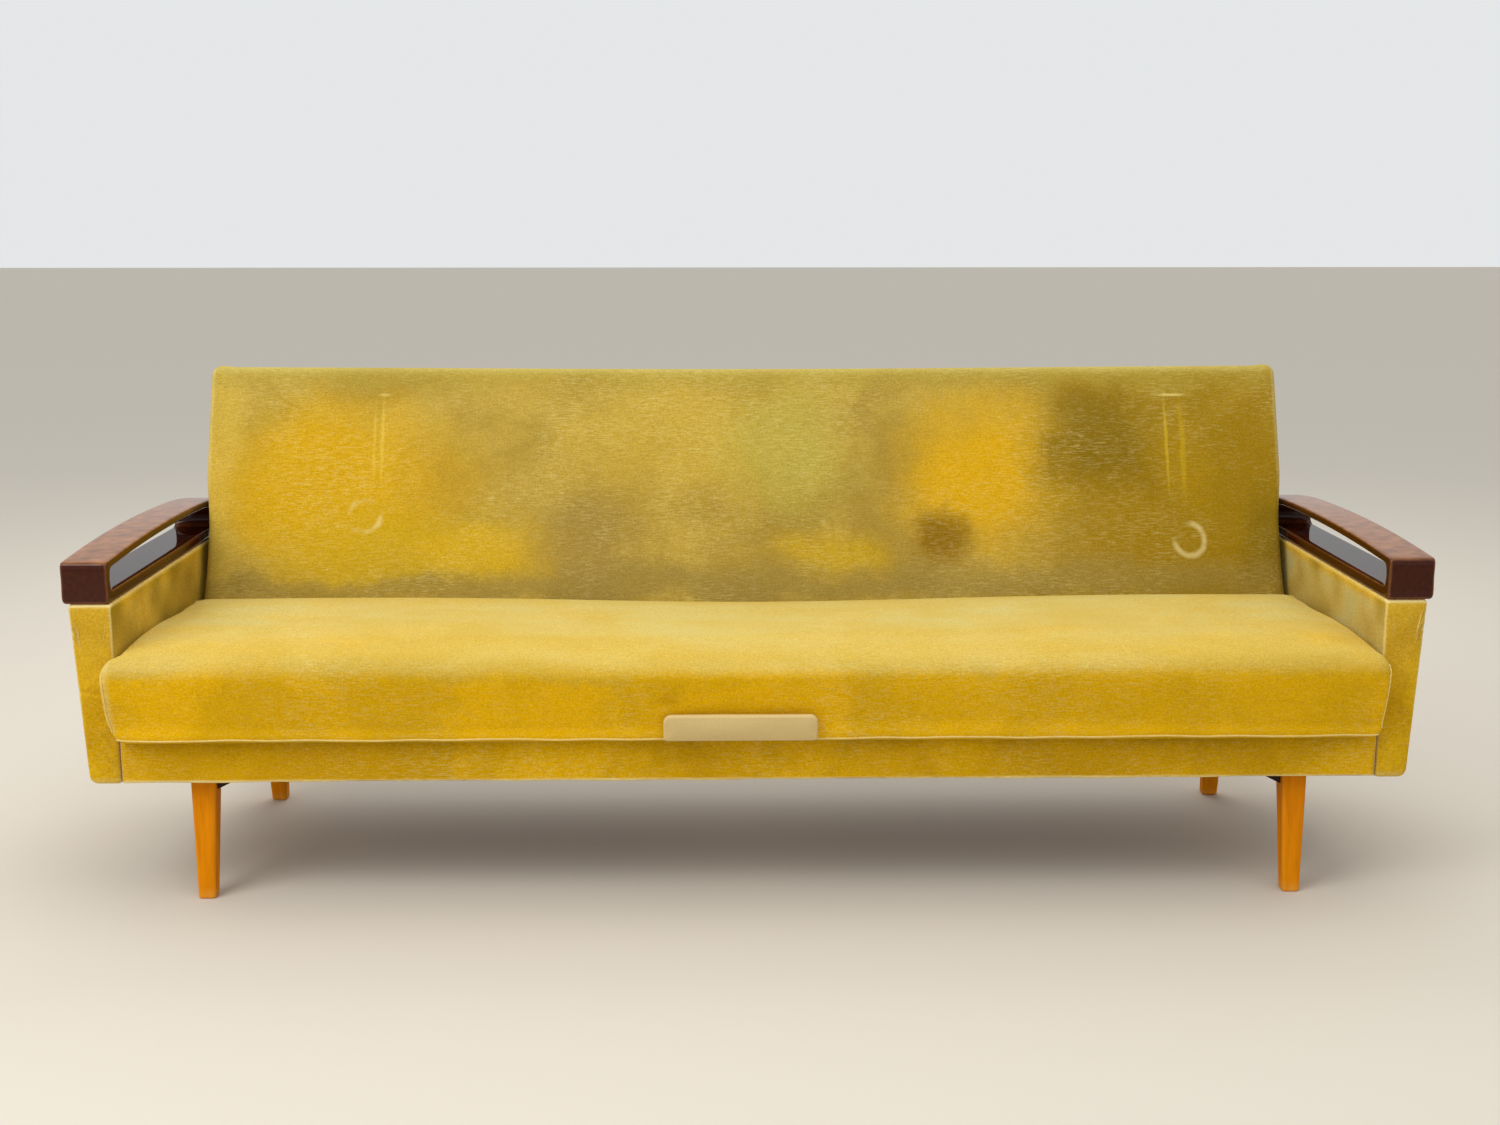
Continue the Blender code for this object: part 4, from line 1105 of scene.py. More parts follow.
@dataclass
class BackCushion:
    """The padded back, leaning at its sitting angle.

    Attributes:
        length: Its height up the slope.
        thickness: Its depth behind the front face.
        half_low: Half its length near the pivots.
        half_high: Half its length above the arms.
        corner: Radius of its upper corners, seen from the front.
        sag: Depth of the slack in the middle of its top edge.
        swell: How far the cover swells when it is stuffed.
        pull_in: How far the swelling pulls in the ends, added to the cut length.
        pivot_behind_front: Pivot behind the front face.
        pivot_above_edge: Pivot above the lower edge, up the slope.
    """

    length: float = 0.5020
    thickness: float = 0.1195
    half_low: float = 0.9650
    half_high: float = 0.9725
    corner: float = 0.024
    sag: float = 0.006
    swell: float = 0.005
    pull_in: float = 0.004
    pivot_behind_front: float = 0.0466
    pivot_above_edge: float = 0.0404

    def outline(self) -> np.ndarray:
        """Return the end's outline as depth behind the front face and height up the slope."""
        return filleted(((0.0, 0.0, 0.012), (self.thickness, 0.0, 0.010),
                         (self.thickness, self.length, 0.012), (0.0, self.length, 0.020)))

    def placed(self, points: np.ndarray) -> np.ndarray:
        """Lean the back at its sitting angle.

        Args:
            points: Place along the sofa, depth behind the front face, height up the slope.

        Returns:
            The points in the frame's coordinates.
        """
        hinge = JOINTS["back_recline"]
        tilt = math.pi / 2 - math.radians(hinge["range_deg"][1])
        depth = points[:, 1] - self.pivot_behind_front
        height = points[:, 2] - self.pivot_above_edge
        y = hinge["pos_m"][1] + depth * math.cos(tilt) + height * math.sin(tilt)
        z = hinge["pos_m"][2] + height * math.cos(tilt) - depth * math.sin(tilt)
        return np.column_stack([points[:, 0], y, z])

    def sculpted(self, points: np.ndarray) -> np.ndarray:
        """Add the slack top edge, rounded upper corners and slight waves of the padding.

        Args:
            points: Place along the sofa, depth behind the front face, height up the slope.

        Returns:
            The changed points.
        """
        x, depth, height = points.T
        high = smooth(height, 0.19, 0.30)
        x = x * (1 + high * (self.half_high / self.half_low - 1))
        limit = self.half_low + high * (self.half_high + 0.004 - self.half_low)
        x = np.clip(x, -limit, limit)
        into_corner = np.clip((height - (self.length - self.corner)) / self.corner, 0, 1)
        pull = self.corner * (1 - np.sqrt(1 - into_corner ** 2))
        x = np.sign(x) * (np.abs(x) - pull * smooth(np.abs(x), 0.90, 0.96))
        top = smooth(height, 0.30, self.length)
        height = height - self.sag * np.exp(-(x / 0.70) ** 2) * top
        front = smooth(depth, 0.03, 0.0)
        belly = np.sin(math.pi * np.clip(height / self.length, 0, 1))
        depth = depth - 0.0025 * front * belly * smooth(np.abs(x), 0.96, 0.85)
        depth = depth + 0.0012 * np.sin(6 * x + 0.5) * np.sin(11 * height + 0.8) * front
        for crease in (-0.655, 0.770):
            line = np.exp(-((x - crease) / 0.006) ** 2) * smooth(height, 0.20, 0.30)
            depth = depth + 0.0012 * line * front * smooth(height, 0.445, 0.41)
        return np.column_stack([x, depth, height])

    def build(self) -> Piece:
        """Make the back.

        Returns:
            The back's piece.
        """
        def firm(points: np.ndarray) -> np.ndarray:
            """Hold the cover behind and along its lower edge."""
            return np.maximum(smooth(points[:, 1], 0.085, 0.105), smooth(points[:, 2], 0.03, 0.01))

        outline = resampled(self.outline(), 112)
        piece = stuffed("back_cushion", outline, self.half_low + self.pull_in, 0.011, self.swell,
                        0.6, firm)
        local = self.sculpted(read_points(piece))
        write_points(piece, self.placed(local))
        normals = read_normals(piece)
        x, depth, height = local.T
        # Faces turned up get flat pile and painted sheen.
        paint(piece, "nap_and_sheen", smooth(normals[:, 2], 0.30, 1.0) * 0.8)
        side = smooth(np.abs(x), 0.9585, 0.9655) * smooth(depth, 0.020, 0.006)
        rim = smooth(height, self.length - 0.030, self.length - 0.012) * smooth(depth, 0.05, 0.0)
        paint(piece, "wear", np.clip(0.35 * side + 0.12 * rim, 0, 1))
        paint(piece, "sheltered", smooth(depth, 0.030, 0.060))
        return piece


@dataclass
class ArmPanel:
    """An upholstered arm below the wooden armrest, slanted outside and upright inside.

    Attributes:
        side: Which arm it is.
        width_top: Its width at the top.
        width_bottom: Its width at the bottom.
        edge: Radius of its front edges.
    """

    side: str
    width_top: float = 0.066
    width_bottom: float = 0.050
    edge: float = 0.007

    def build(self) -> Piece:
        """Make the arm's cover.

        Returns:
            The cover's piece.
        """
        sign = SIDES[self.side]
        low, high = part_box("arm_cover_" + self.side)
        inner = min(abs(low.x), abs(high.x))
        corners = ((inner, low.z, 0.005), (inner + self.width_bottom, low.z, 0.012),
                   (inner + self.width_top, high.z, 0.004), (inner, high.z, 0.004))
        section = resampled(filleted(corners), 150)
        middle = (section.max(axis=0) + section.min(axis=0)) / 2
        reach = (section.max(axis=0) - section.min(axis=0)) / 2
        depth = high.y - low.y
        # From the middle of the front face out, along the arm, and in again at the rear. An
        # inset below 0 is a share of the way to the middle of an end face.
        front = [(0.0, -share) for share in (0.95, 0.75, 0.5, 0.25)]
        front += quarter(self.edge)[::-1]
        rings = front + [(y, 0.0) for y in np.linspace(self.edge, depth - self.edge, 70)[1:-1]]
        rings += [(depth - y, inset) for y, inset in reversed(front)]
        points = []
        for y, inset in rings:
            shrink = 1 - (self.edge if inset < 0 else inset) / reach
            if inset < 0:
                shrink = shrink * (1 + inset)
            ring = middle + (section - middle) * shrink
            points.append(np.column_stack([sign * ring[:, 0], np.full(len(ring), low.y + y),
                                           ring[:, 1]]))
        piece = loft("arm_upholstery_" + self.side, np.array(points))
        face_outwards(piece)
        subdivided(piece)
        self.crease(piece, low.y)
        return piece

    def crease(self, piece: Piece, front: float) -> None:
        """Press slanting creases into the front, store the rubbed edges, and paint flat pile with
        painted sheen and painted shade on its faces.

        Args:
            piece: The arm's cover.
            front: Y of its front face.
        """
        points = read_points(piece)
        x, y, z = points.T
        across = np.abs(x) - 0.975
        facing = smooth(y, front + 0.012, front + 0.001)
        seed = 0.0 if self.side == "left" else 0.11
        for height, slope, strength in ((0.443, -0.30, 1.0), (0.428, -0.22, 0.6),
                                        (0.337 + seed, 0.18, 0.7), (0.262, 0.1, 0.35)):
            line = np.exp(-((z - height - slope * (across - 0.03)) / 0.0035) ** 2)
            y = y + 0.0022 * strength * line * facing * smooth(across, 0.0, 0.015)
        inside = smooth(across, 0.004, 0.0)
        bow = 0.0012 * np.sin(7 * y + 2) * np.sin(21 * z) * inside
        x = x + np.sign(x) * np.abs(bow) * 0.6
        write_points(piece, np.column_stack([x, y, z]))
        normals = read_normals(piece)
        brush = (np.sin(27 * y + 4 * z + 2.5 * np.sin(13 * z)) * np.sin(19 * z + 9 * y + 1.3)
                 + 0.5 * np.sin(61 * y + 3 * np.sin(17 * z + 1)) * np.sin(33 * z + 2))
        # Painted light and shade on the inner faces: the left arm's is painted darker, as in shade,
        # and the right arm's paler, with more flat pile and painted sheen.
        level = 0.22 if self.side == "left" else 0.85
        inward = smooth(-np.sign(x) * normals[:, 0], 0.6, 0.95)
        streaked = level * (0.75 + 0.35 * brush) * smooth(z, 0.476, 0.455)
        # Flat pile and painted sheen: a little on the front faces, more on the inner faces.
        paint(piece, "nap_and_sheen", np.clip(0.12 * smooth(normals[:, 1], -0.2, -0.9) * smooth(z, 0.28, 0.46)
              + streaked * inward, 0, 1))
        # Painted shade on the inner faces, stronger on the left arm, broken by the brushed streaks.
        turned = (0.42 if self.side == "left" else 0.15) - 0.42 * brush
        paint(piece, "away", np.clip(turned * inward, 0, 0.8))
        turning = 1 - np.maximum(np.abs(normals[:, 1]), np.maximum(np.abs(normals[:, 0]), 0.7))
        front_edge = smooth(turning, 0.03, 0.24) * smooth(y, front + 0.02, front + 0.006)
        front_edge = front_edge * (0.25 + 0.75 * smooth(z, 0.26, 0.34))
        foot = smooth(z, 0.2065, 0.1955) * 0.35
        rim = smooth(z, 0.470, 0.4765) * 0.45
        paint(piece, "wear", np.clip(0.65 * front_edge + foot + rim, 0, 1))


@dataclass
class Apron:
    """The velvet strip across the front of the base box.

    Attributes:
        half: Half its length.
    """

    half: float = 0.9726

    def build(self) -> Piece:
        """Make the strip, a little slack along its lower edge.

        Returns:
            The strip's piece.
        """
        low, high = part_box("apron_cover")
        corners = ((low.y - 0.0010, low.z, 0.0012), (low.y + 0.0020, low.z, 0.0010),
                   (low.y + 0.0020, high.z - 0.0004, 0.0006), (low.y, high.z - 0.0004, 0.0009))
        outline = resampled(filleted(corners), 64)
        stations = np.linspace(-self.half, self.half, 320)
        points = []
        for x in stations:
            ring = outline.copy()
            lower = smooth(ring[:, 1], low.z + 0.020, low.z)
            ring[:, 1] += lower * (0.0008 * math.sin(9 * x) + 0.0005 * math.sin(41 * x + 1))
            face = smooth(ring[:, 0], low.y + 0.0014, low.y)
            ring[:, 0] += face * 0.0005 * np.sin(17 * x + 60 * ring[:, 1])
            points.append(np.column_stack([np.full(len(ring), x), ring]))
        piece = loft("apron_velvet", np.array(points))
        face_outwards(piece)
        z = read_points(piece)[:, 2]
        paint(piece, "nap_and_sheen", np.zeros(len(z)))
        paint(piece, "wear", smooth(z, low.z + 0.0045, low.z + 0.0010))
        return piece


@dataclass
class PullTab:
    """The padded grip flap on the lower front edge of the seat.

    Attributes:
        corner: Radius of its upper corners.
        edge: Radius of its front edges.
        crown: How far the padding swells in the middle.
        thickness: Its thickness at the edges.
        rake: How far the seat's front leans out over a height.
        insets: How far the rings of its front face are set in.
    """

    corner: float = 0.012
    edge: float = 0.004
    crown: float = 0.0022
    thickness: float = 0.0100
    rake: tuple[float, float] = (0.0260, 0.1100)
    insets: tuple[float, ...] = (0.0060, 0.0075, 0.0100, 0.0140, 0.0180, 0.0205)

    def build(self) -> Piece:
        """Make the flap, leaning with the front of the seat.

        Returns:
            The flap's piece.
        """
        low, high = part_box("pull_tab")
        lean = math.atan2(*self.rake)
        width = high.x - low.x
        thickness = self.thickness
        height = (high.z - low.z - thickness * math.sin(lean)) / math.cos(lean)
        outline = resampled(filleted(((0, 0, 0.005), (width, 0, 0.005), (width, height, self.corner),
                                      (0, height, self.corner))), 220)
        middle = np.array((width / 2, height / 2))
        levels = [(0.0012, 0.0), (0.0, 0.002)]
        levels += [(inset, thickness - back) for back, inset in quarter(self.edge)]
        span = self.insets[-1] - self.edge
        for inset in self.insets:
            rise = self.crown * math.sin(math.pi / 2 * (inset - self.edge) / span)
            levels.append((inset, thickness + rise))
        rings = []
        up = np.array((0.0, -math.sin(lean), math.cos(lean)))
        out = np.array((0.0, -math.cos(lean), -math.sin(lean)))
        start = np.array((low.x, high.y, low.z + thickness * math.sin(lean)))
        for inset, rise in levels:
            ring = middle + (outline - middle) * (1 - inset / middle)
            rings.append(start + np.outer(ring[:, 0], (1, 0, 0)) + np.outer(ring[:, 1], up)
                         + out * rise)
        piece = loft("grip_tab", np.array(rings))
        face_outwards(piece)
        subdivided(piece)
        points = read_points(piece)
        x, y, z = points.T
        y = y + 0.0007 * np.sin(34 * x) * np.sin(90 * z + 1)
        write_points(piece, np.column_stack([x, y, z]))
        normals = read_normals(piece)
        paint(piece, "nap_and_sheen", smooth(normals[:, 2], 0.0, 0.8))
        paint(piece, "wear", smooth(normals[:, 2], 0.25, 0.8) * 0.5)
        return piece


# ---- woodwork ------------------------------------------------------------------------------
@dataclass
class Armrest:
    """A lacquered wooden armrest: an arched bar over a long slot, bowed on its outer face.

    Attributes:
        side: Which arm it is.
        heights: Height at the front end, the middle and the rear end.
        width: Its width at the ends.
        bow: Sideways bow of its outer face.
        turn: Length and depth of the turned-in rear corner.
        rail: Wood under the slot.
        bar: Wood over the slot.
        posts: Wood in front of and behind the slot.
        slot_corner: Radius of the slot's corners.
        edge: Radius of the wood's edges.
    """

    side: str
    heights: tuple[float, float, float] = (0.0650, 0.0748, 0.0670)
    width: float = 0.0712
    bow: float = 0.0035
    turn: tuple[float, float] = (0.075, 0.028)
    rail: float = 0.0185
    bar: float = 0.0135
    posts: tuple[float, float] = (0.018, 0.037)
    slot_corner: float = 0.014
    edge: float = 0.0062

    def arch(self, y: float, length: float) -> float:
        """Work out the height of the arched top.

        Args:
            y: Distance behind the front end.
            length: Length of the armrest.

        Returns:
            The height there.
        """
        share = y / length
        crown = 2 * self.heights[1] - (self.heights[0] + self.heights[2]) / 2
        return ((1 - share) ** 2 * self.heights[0] + 2 * share * (1 - share) * crown
                + share ** 2 * self.heights[2])

    def outer_width(self, y: float, length: float) -> float:
        """Work out the width of the wood.

        Args:
            y: Distance behind the front end.
            length: Length of the armrest.

        Returns:
            The width there.
        """
        turn_length, turn_depth = self.turn
        turned = min(1.0, max(0.0, (y - (length - turn_length)) / turn_length))
        bow = self.bow * math.sin(math.pi * min(1.0, max(0.0, y / length)))
        return self.width + bow - turn_depth * (1 - math.sqrt(1 - turned * turned))

    def loop(self, start: float, end: float, low: float, drop: float, radius: float,
             length: float) -> list[tuple[float, float]]:
        """Go round the slot or the outside, seen from the side.

        Args:
            start: The loop's front end.
            end: Its rear end.
            low: Its lower side.
            drop: How far its upper side lies below the arch.
            radius: Radius of its corners.
            length: Length of the armrest.

        Returns:
            Points of distance and height, the same number for every loop.
        """
        first, last = start + radius, end - radius
        turn_start = length - self.turn[0]
        along = list(np.linspace(first, turn_start, 44)[:-1])
        reach = math.asin(min(1.0, (last - turn_start) / self.turn[0]))
        along += [turn_start + self.turn[0] * math.sin(a) for a in np.linspace(0, reach, 14)]
        upper = [(y, self.arch(y, length) - drop) for y in along]
        top_first, top_last = upper[0][1] - radius, upper[-1][1] - radius
        points = [(y, low) for y in along]
        points += self.corner((last, low + radius), radius, -90)
        points += [(end, z) for z in np.linspace(low + radius, top_last, 8)[1:-1]]
        points += self.corner((last, top_last), radius, 0)
        points += list(reversed(upper))
        points += self.corner((first, top_first), radius, 90)
        points += [(start, z) for z in np.linspace(top_first, low + radius, 8)[1:-1]]
        points += self.corner((first, low + radius), radius, 180)
        return points

    def corner(self, middle: tuple[float, float], radius: float,
               start: float) -> list[tuple[float, float]]:
        """Return the inner points of a quarter turn that begins at an angle in degrees."""
        angles = [math.radians(start + 90 * step / ROUND_STEPS) for step in range(1, ROUND_STEPS)]
        return [(middle[0] + radius * math.cos(a), middle[1] + radius * math.sin(a)) for a in angles]

    def build(self) -> Piece:
        """Make the armrest.

        Returns:
            The armrest's piece.
        """
        sign = SIDES[self.side]
        low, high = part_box("armrest_" + self.side)
        inner = min(abs(low.x), abs(high.x))
        length = high.y - low.y
        slot = self.loop(self.posts[0], length - self.posts[1], self.rail, self.bar,
                         self.slot_corner, length)
        outside = self.loop(0.0, length, 0.0, 0.0, 0.007, length)
        rings = []
        for (slot_y, slot_z), (out_y, out_z) in zip(slot, outside):
            ring = []
            thickness = math.hypot(out_y - slot_y, out_z - slot_z)
            for across, through in squared((0, 0), (self.width, thickness), self.edge,
                                           (0.04, 0.5, 0.96)):
                share = through / thickness
                y = slot_y + (out_y - slot_y) * share
                z = slot_z + (out_z - slot_z) * share
                x = across * self.outer_width(y, length) / self.width
                ring.append((sign * (inner + x), low.y + y, low.z + z))
            rings.append(ring)
        piece = loft("armrest_wood_" + self.side, np.array(rings), closed=True)
        face_outwards(piece)
        self.paint_use(piece)
        return piece

    def paint_use(self, piece: Piece) -> None:
        """Store how rubbed the wood is on its edges near the front, and paint the top paler: rubbed
        wood together with a painted highlight.

        Args:
            piece: The armrest.
        """
        points = read_points(piece)
        normals = read_normals(piece)
        rounding = 1 - smooth(np.abs(normals).max(axis=1), 0.80, 0.985)
        ahead = smooth(points[:, 1], ARM_FRONT + 0.35, ARM_FRONT)
        # Faces turned up are painted paler: rubbed wood together with a painted highlight from the
        # bright room.
        upward = smooth(normals[:, 2], 0.7, 0.98) * smooth(points[:, 2], 0.51, 0.53)
        paint(piece, "wear", np.clip(rounding * (0.20 + 0.25 * ahead) + 0.95 * upward, 0, 1))


@dataclass
class Leg:
    """A square leg that tapers to its foot and stands a little splayed.

    Attributes:
        end: Front or rear.
        side: Left or right.
        top: Side of the square under the base.
        foot: Side of the square at the floor.
        edge: Radius of its long edges.
        lift: Height of the visible leg.
    """

    end: str
    side: str
    top: float = 0.0398
    foot: float = 0.027
    edge: float = 0.005
    lift: float = 0.1962

    def build(self) -> Piece:
        """Make the leg.

        Returns:
            The leg's piece.
        """
        low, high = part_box(f"leg_{self.end}_{self.side}")
        x = (low.x + high.x) / 2
        ahead = self.end == "front"
        foot_y = low.y + self.foot / 2 if ahead else high.y - self.foot / 2
        top_y = high.y - self.top / 2 if ahead else low.y + self.top / 2
        levels = [(0.0, 0.0022), (0.0006, 0.0012), (0.0020, 0.0003), (0.0040, 0.0)]
        levels += [(z, 0.0) for z in np.linspace(0.0040, self.lift, 26)[1:]]
        rings = []
        for z, inset in levels:
            share = z / self.lift
            half = (self.foot + (self.top - self.foot) * share) / 2 - inset
            centre = foot_y + (top_y - foot_y) * share
            outline = squared((-half, -half), (half, half), self.edge, (0.1, 0.9))
            rings.append([(x + a, centre + b, z) for a, b in outline])
        piece = loft(f"leg_wood_{self.end}_{self.side}", np.array(rings))
        face_outwards(piece)
        points = read_points(piece)
        normals = np.abs(read_normals(piece))
        corner = 1 - smooth(normals[:, :2].max(axis=1), 0.80, 0.985)
        paint(piece, "wear", np.clip(0.3 * corner + smooth(points[:, 2], 0.020, 0.0), 0, 1))
        return piece


# ---- studio --------------------------------------------------------------------------------
@dataclass
class Studio:
    """A plain pale floor, soft light and the camera.

    Attributes:
        floor_colour: sRGB hex of the floor.
        floor_reach: How far it reaches from the sofa.
        air_colour: sRGB hex of the light from all round.
        air_strength: Strength of that light.
        camera_place: Where the camera stands.
        camera_turn: Its turn in degrees.
        lens: Its focal length in mm, on a sensor 36 mm wide.
        lights: Name, place, size and power of each soft panel, all aimed at the seat.
        unmirrored: The panel that glossy surfaces do not show.
    """

    floor_colour: str = "cbc3b5"
    floor_reach: float = 30.0
    air_colour: str = "f2f4f5"
    air_strength: float = 0.88
    camera_place: tuple[float, float, float] = (-0.0529, -3.0980, 1.0734)
    camera_turn: tuple[float, float, float] = (79.08, 0.0, -1.03)
    lens: float = 44.395
    lights: tuple[tuple[str, tuple[float, float, float], float, float], ...] = (
        ("window_light", (-2.6, -2.4, 3.0), 2.4, 85.0),
        ("ceiling_light", (0.4, -0.6, 3.2), 3.0, 36.0),
        ("wall_bounce", (0.0, 2.4, 2.5), 2.4, 36.0),
    )
    unmirrored: str = "wall_bounce"

    def build(self) -> None:
        """Make the floor, the lights, the surrounding light and the camera."""
        scene = bpy.context.scene
        scene.view_settings.view_transform = "Standard"
        mesh = bpy.data.meshes.new("floor")
        reach = self.floor_reach
        corners = [(-reach, -reach, 0), (reach, -reach, 0), (reach, reach, 0), (-reach, reach, 0)]
        mesh.from_pydata(corners, [], [(0, 1, 2, 3)])
        floor = bpy.data.objects.new("floor", mesh)
        scene.collection.objects.link(floor)
        floor.data.materials.append(self.floor_finish())
        world = bpy.data.worlds.new("surroundings")
        world.use_nodes = True
        feed(world.node_tree, world.node_tree.nodes["Background"],
             {"Color": linear(self.air_colour), "Strength": self.air_strength})
        scene.world = world
        for name, place, size, power in self.lights:
            self.add_light(name, place, size, power)
        camera = bpy.data.cameras.new("camera")
        camera.lens = self.lens
        camera.sensor_width = 36.0
        seen = bpy.data.objects.new("camera", camera)
        seen.location = self.camera_place
        seen.rotation_euler = [math.radians(angle) for angle in self.camera_turn]
        scene.collection.objects.link(seen)
        scene.camera = seen

    def add_light(self, name: str, place: tuple[float, float, float], size: float,
                  power: float) -> None:
        """Hang one soft square panel of light, aimed at the seat.

        Args:
            name: The light's name.
            place: Where it hangs.
            size: Its side.
            power: Its power in watts.
        """
        data = bpy.data.lights.new(name, "AREA")
        data.size = size
        data.energy = power
        light = bpy.data.objects.new(name, data)
        light.location = place
        aim = Vector((0.0, 0.0, 0.4)) - light.location
        light.rotation_euler = aim.to_track_quat("-Z", "Y").to_euler()
        light.visible_camera = False
        light.visible_glossy = name != self.unmirrored
        bpy.context.scene.collection.objects.link(light)

    def floor_finish(self) -> Material:
        """Make the floor's plain matt paint, which gives the eye a quiet ground."""
        paint_coat = {"Base Color": linear(self.floor_colour), "Roughness": 0.75}
        return Recipe("painted_floor").finished(paint_coat)


# ---- assembly ------------------------------------------------------------------------------
def place(piece: Piece, finish: Material, slot: Slot, body: str,
          nodes: Sequence[str] = (), fill: float | None = None) -> None:
    """Give a piece its finish and its place in the frame, and report it.

    Args:
        piece: The made piece.
        finish: Its material.
        slot: The record's slot that its finish stands for; not used.
        body: The CAD body that it rides on.
        nodes: CAD nodes that it stands for.
        fill: How full a stuffed piece is, from 0 to 1; not used.
    """
    piece.data.materials.clear()
    piece.data.materials.append(finish)
    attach(piece, body)
    if nodes:
        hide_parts(*nodes)
    LOG.info("%s on %s, %d faces", piece.name, body, len(piece.data.polygons))


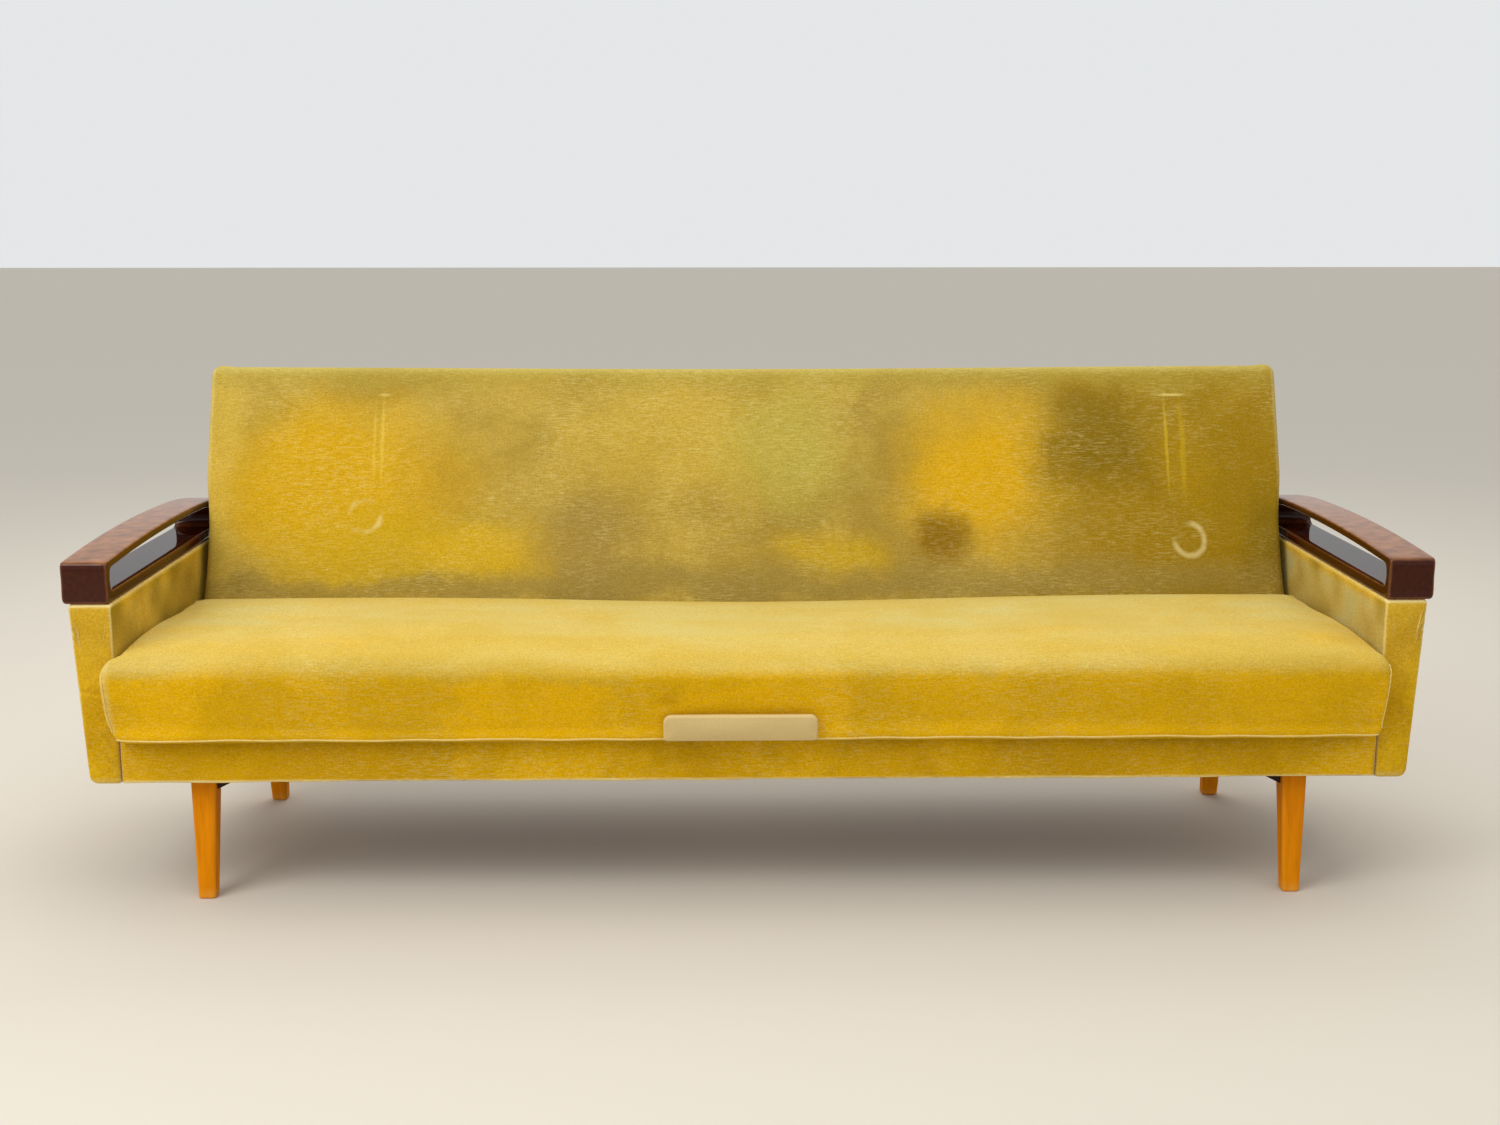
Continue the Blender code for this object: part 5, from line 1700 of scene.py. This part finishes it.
@dataclass
class Finishes:
    """Every finish of the sofa."""

    def build(self) -> dict[str, Material]:
        """Make the materials.

        Returns:
            Material by the name of the part or slot that wears it.
        """
        back_patches = (
            Patch(0.80, 0.60, 0.36, 0.34, "8f6e00", 0.97),
            Patch(-0.747, 0.580, 0.26, 0.17, "c49700", 0.94),
            Patch(-0.60, 0.470, 0.30, 0.09, "b8960f", 0.70),
            Patch(-0.476, 0.479, 0.15, 0.05, "c9a118", 0.55),
            Patch(-0.290, 0.470, 0.11, 0.12, "93793a", 0.75),
            Patch(-0.10, 0.660, 0.25, 0.12, "b89a34", 0.60),
            Patch(0.080, 0.640, 0.12, 0.12, "a89b42", 0.60),
            Patch(0.150, 0.455, 0.12, 0.06, "bb9712", 0.70),
            Patch(0.420, 0.600, 0.17, 0.15, "c99a00", 0.97),
            Patch(0.640, 0.660, 0.13, 0.11, "745900", 0.85),
            Patch(0.800, 0.690, 0.10, 0.09, "8c6e06", 0.60),
            Patch(0.790, 0.620, 0.05, 0.10, "a07a00", 0.45),
            # Painted shade in the lower right corner of the back.
            Patch(0.930, 0.480, 0.06, 0.10, "7c6206", 0.60),
            # Painted sheen along the back's left edge.
            Patch(-0.945, 0.560, 0.04, 0.25, "c3a440", 0.60),
            Patch(0.0, 0.775, 1.5, 0.035, "a08a34", 0.55),
            Patch(0.30, 0.420, 0.95, 0.035, "8f7838", 0.60),
            Patch(-0.30, 0.405, 0.90, 0.025, "8d7636", 0.60),
            Patch(0.356, 0.487, 0.062, 0.056, "7c5a00", 0.92),
        )
        back_marks = (
            Patch(-0.655, 0.660, 0.0035, 0.080, "d8bc4a", 0.40),
            Patch(-0.668, 0.650, 0.0030, 0.070, "d8bc4a", 0.30),
            Patch(0.762, 0.650, 0.0035, 0.090, "cfae2c", 0.45),
            Patch(0.790, 0.640, 0.0060, 0.090, "c4a118", 0.35),
            Patch(0.775, 0.734, 0.026, 0.0030, "e0cf7c", 0.55),
            Patch(-0.655, 0.738, 0.012, 0.0035, "d8c878", 0.35),
        )
        back_rings = (Ring(-0.681, 0.530, 0.027), Ring(0.795, 0.484, 0.027))
        made = {
            "seat": Velvet("cotton_velvet_seat", "d9a706", "c2b26c", "c89a06",
                           patches=(Patch(0.55, 0.33, 0.35, 0.05, "ca9c0a", 0.5),
                                    Patch(0.0, 0.398, 1.5, 0.026, "bf9a28", 0.75)),
                           streak_strength=0.30),
            "back": Velvet("cotton_velvet_back", "ae923c", "a8984a", "997e30",
                           patches=back_patches, marks=back_marks, rings=back_rings),
            "arm": Velvet("cotton_velvet_arms", "cb9f08", "b0a872", "ba8e06", streak_strength=0.2,
                          streak=(90.0, 90.0, 450.0), cloud_scale=9.0),
            "apron": Velvet("cotton_velvet_apron", "cf9f04", "c0a040", "b88c04",
                            patches=(Patch(-0.80, 0.23, 0.30, 0.06, "bd8e04", 0.5),
                                     Patch(0.60, 0.23, 0.35, 0.06, "a87e04", 0.6)),
                            streak_strength=0.30),
            "tab": Plain("grip_cloth", "d2b97f", "c3a76b", (900.0, 900.0, 900.0), 0.9, relief=0.0004),
            "armrest": Lacquer("dark_beech_lacquer", "421502", "2e0d01", "b07444", 0.34, 0.7, 0.05,
                               Grain.Y),
            "leg": Lacquer("honey_beech_lacquer", "da8404", "c27002", "dc9a3c", 0.40, 0.15, 0.18,
                           Grain.Z),
            "brown_lacquered_beech": Lacquer("dark_beech_lacquer_frame", "3a1604", "1e0a03", "7a3c14",
                                             0.30, 0.4, 0.1, Grain.X),
            "honey_beech": Lacquer("honey_beech_lacquer_frame", "b86c14", "9a560c", "cf8c3c",
                                   0.4, 0.3, 0.25, Grain.X),
            "sawn_pine": Plain("sawn_pine", "d2b182", "b08a58", (9.0, 160.0, 160.0), 0.75),
            "hardboard": Plain("hardboard", "8a6244", "6a4830", (500.0, 500.0, 500.0), 0.7),
            "black_dust_cloth": Plain("black_dust_cloth", "1c1c1c", "101010", (1500.0, 1500.0, 1500.0),
                                      0.95),
            "jute_webbing": Plain("jute_webbing", "b99a68", "8a6c40", (600.0, 300.0, 300.0), 0.9),
            "spring_steel": Plain("spring_steel", "7c7a78", "4e4a48", (300.0, 300.0, 300.0), 0.42,
                                  metallic=1.0, relief=0.0001),
            "zinc_plated_steel": Plain("zinc_plated_steel", "b9bcc0", "8e9196", (220.0, 220.0, 220.0),
                                       0.38, metallic=1.0, relief=0.0001),
        }
        return {name: finish.build() for name, finish in made.items()}


def dress_nodes(finishes: dict[str, Material]) -> None:
    """Give every CAD node the material of its slot.

    Args:
        finishes: The sofa's materials.
    """
    for name, piece in frame["nodes"].items():
        for slot in piece.material_slots:
            wanted = slot.material.name.split(".")[0] if slot.material else ""
            if wanted == Slot.VELVET.value:
                wanted = "arm"
            elif wanted == Slot.TAB.value:
                wanted = "tab"
            if wanted in finishes:
                slot.material = finishes[wanted]
            else:
                LOG.warning("%s has no finish for %s", name, wanted)
    LOG.info("%d CAD nodes dressed", len(frame["nodes"]))


def main() -> None:
    """Build the sofa's pieces in order."""
    logging.basicConfig(level=logging.INFO, format="%(name)s: %(message)s")
    Studio().build()
    finishes = Finishes().build()
    dress_nodes(finishes)

    seat = SeatCushion()
    cushion = seat.build()
    place(cushion, finishes["seat"], Slot.VELVET, "seat", ["seat_pad"], fill=0.8)
    for welt in seat.build_welts(cushion):
        place(welt, finishes["seat"], Slot.VELVET, "seat")
    place(BackCushion().build(), finishes["back"], Slot.VELVET, "back",
          ["back_pad", "back_rear_cover"], fill=0.8)
    place(PullTab().build(), finishes["tab"], Slot.TAB, "seat", ["pull_tab"], fill=0.9)
    place(Apron().build(), finishes["apron"], Slot.VELVET, "base", ["apron_cover"])
    for side in SIDES:
        place(ArmPanel(side).build(), finishes["arm"], Slot.VELVET, "base", ["arm_cover_" + side],
              fill=1.0)
        place(Armrest(side).build(), finishes["armrest"], Slot.LACQUER, "base", ["armrest_" + side])
        for end in ("front", "rear"):
            place(Leg(end, side).build(), finishes["leg"], Slot.HONEY, "base", [f"leg_{end}_{side}"])


if __name__ == "__main__":
    main()
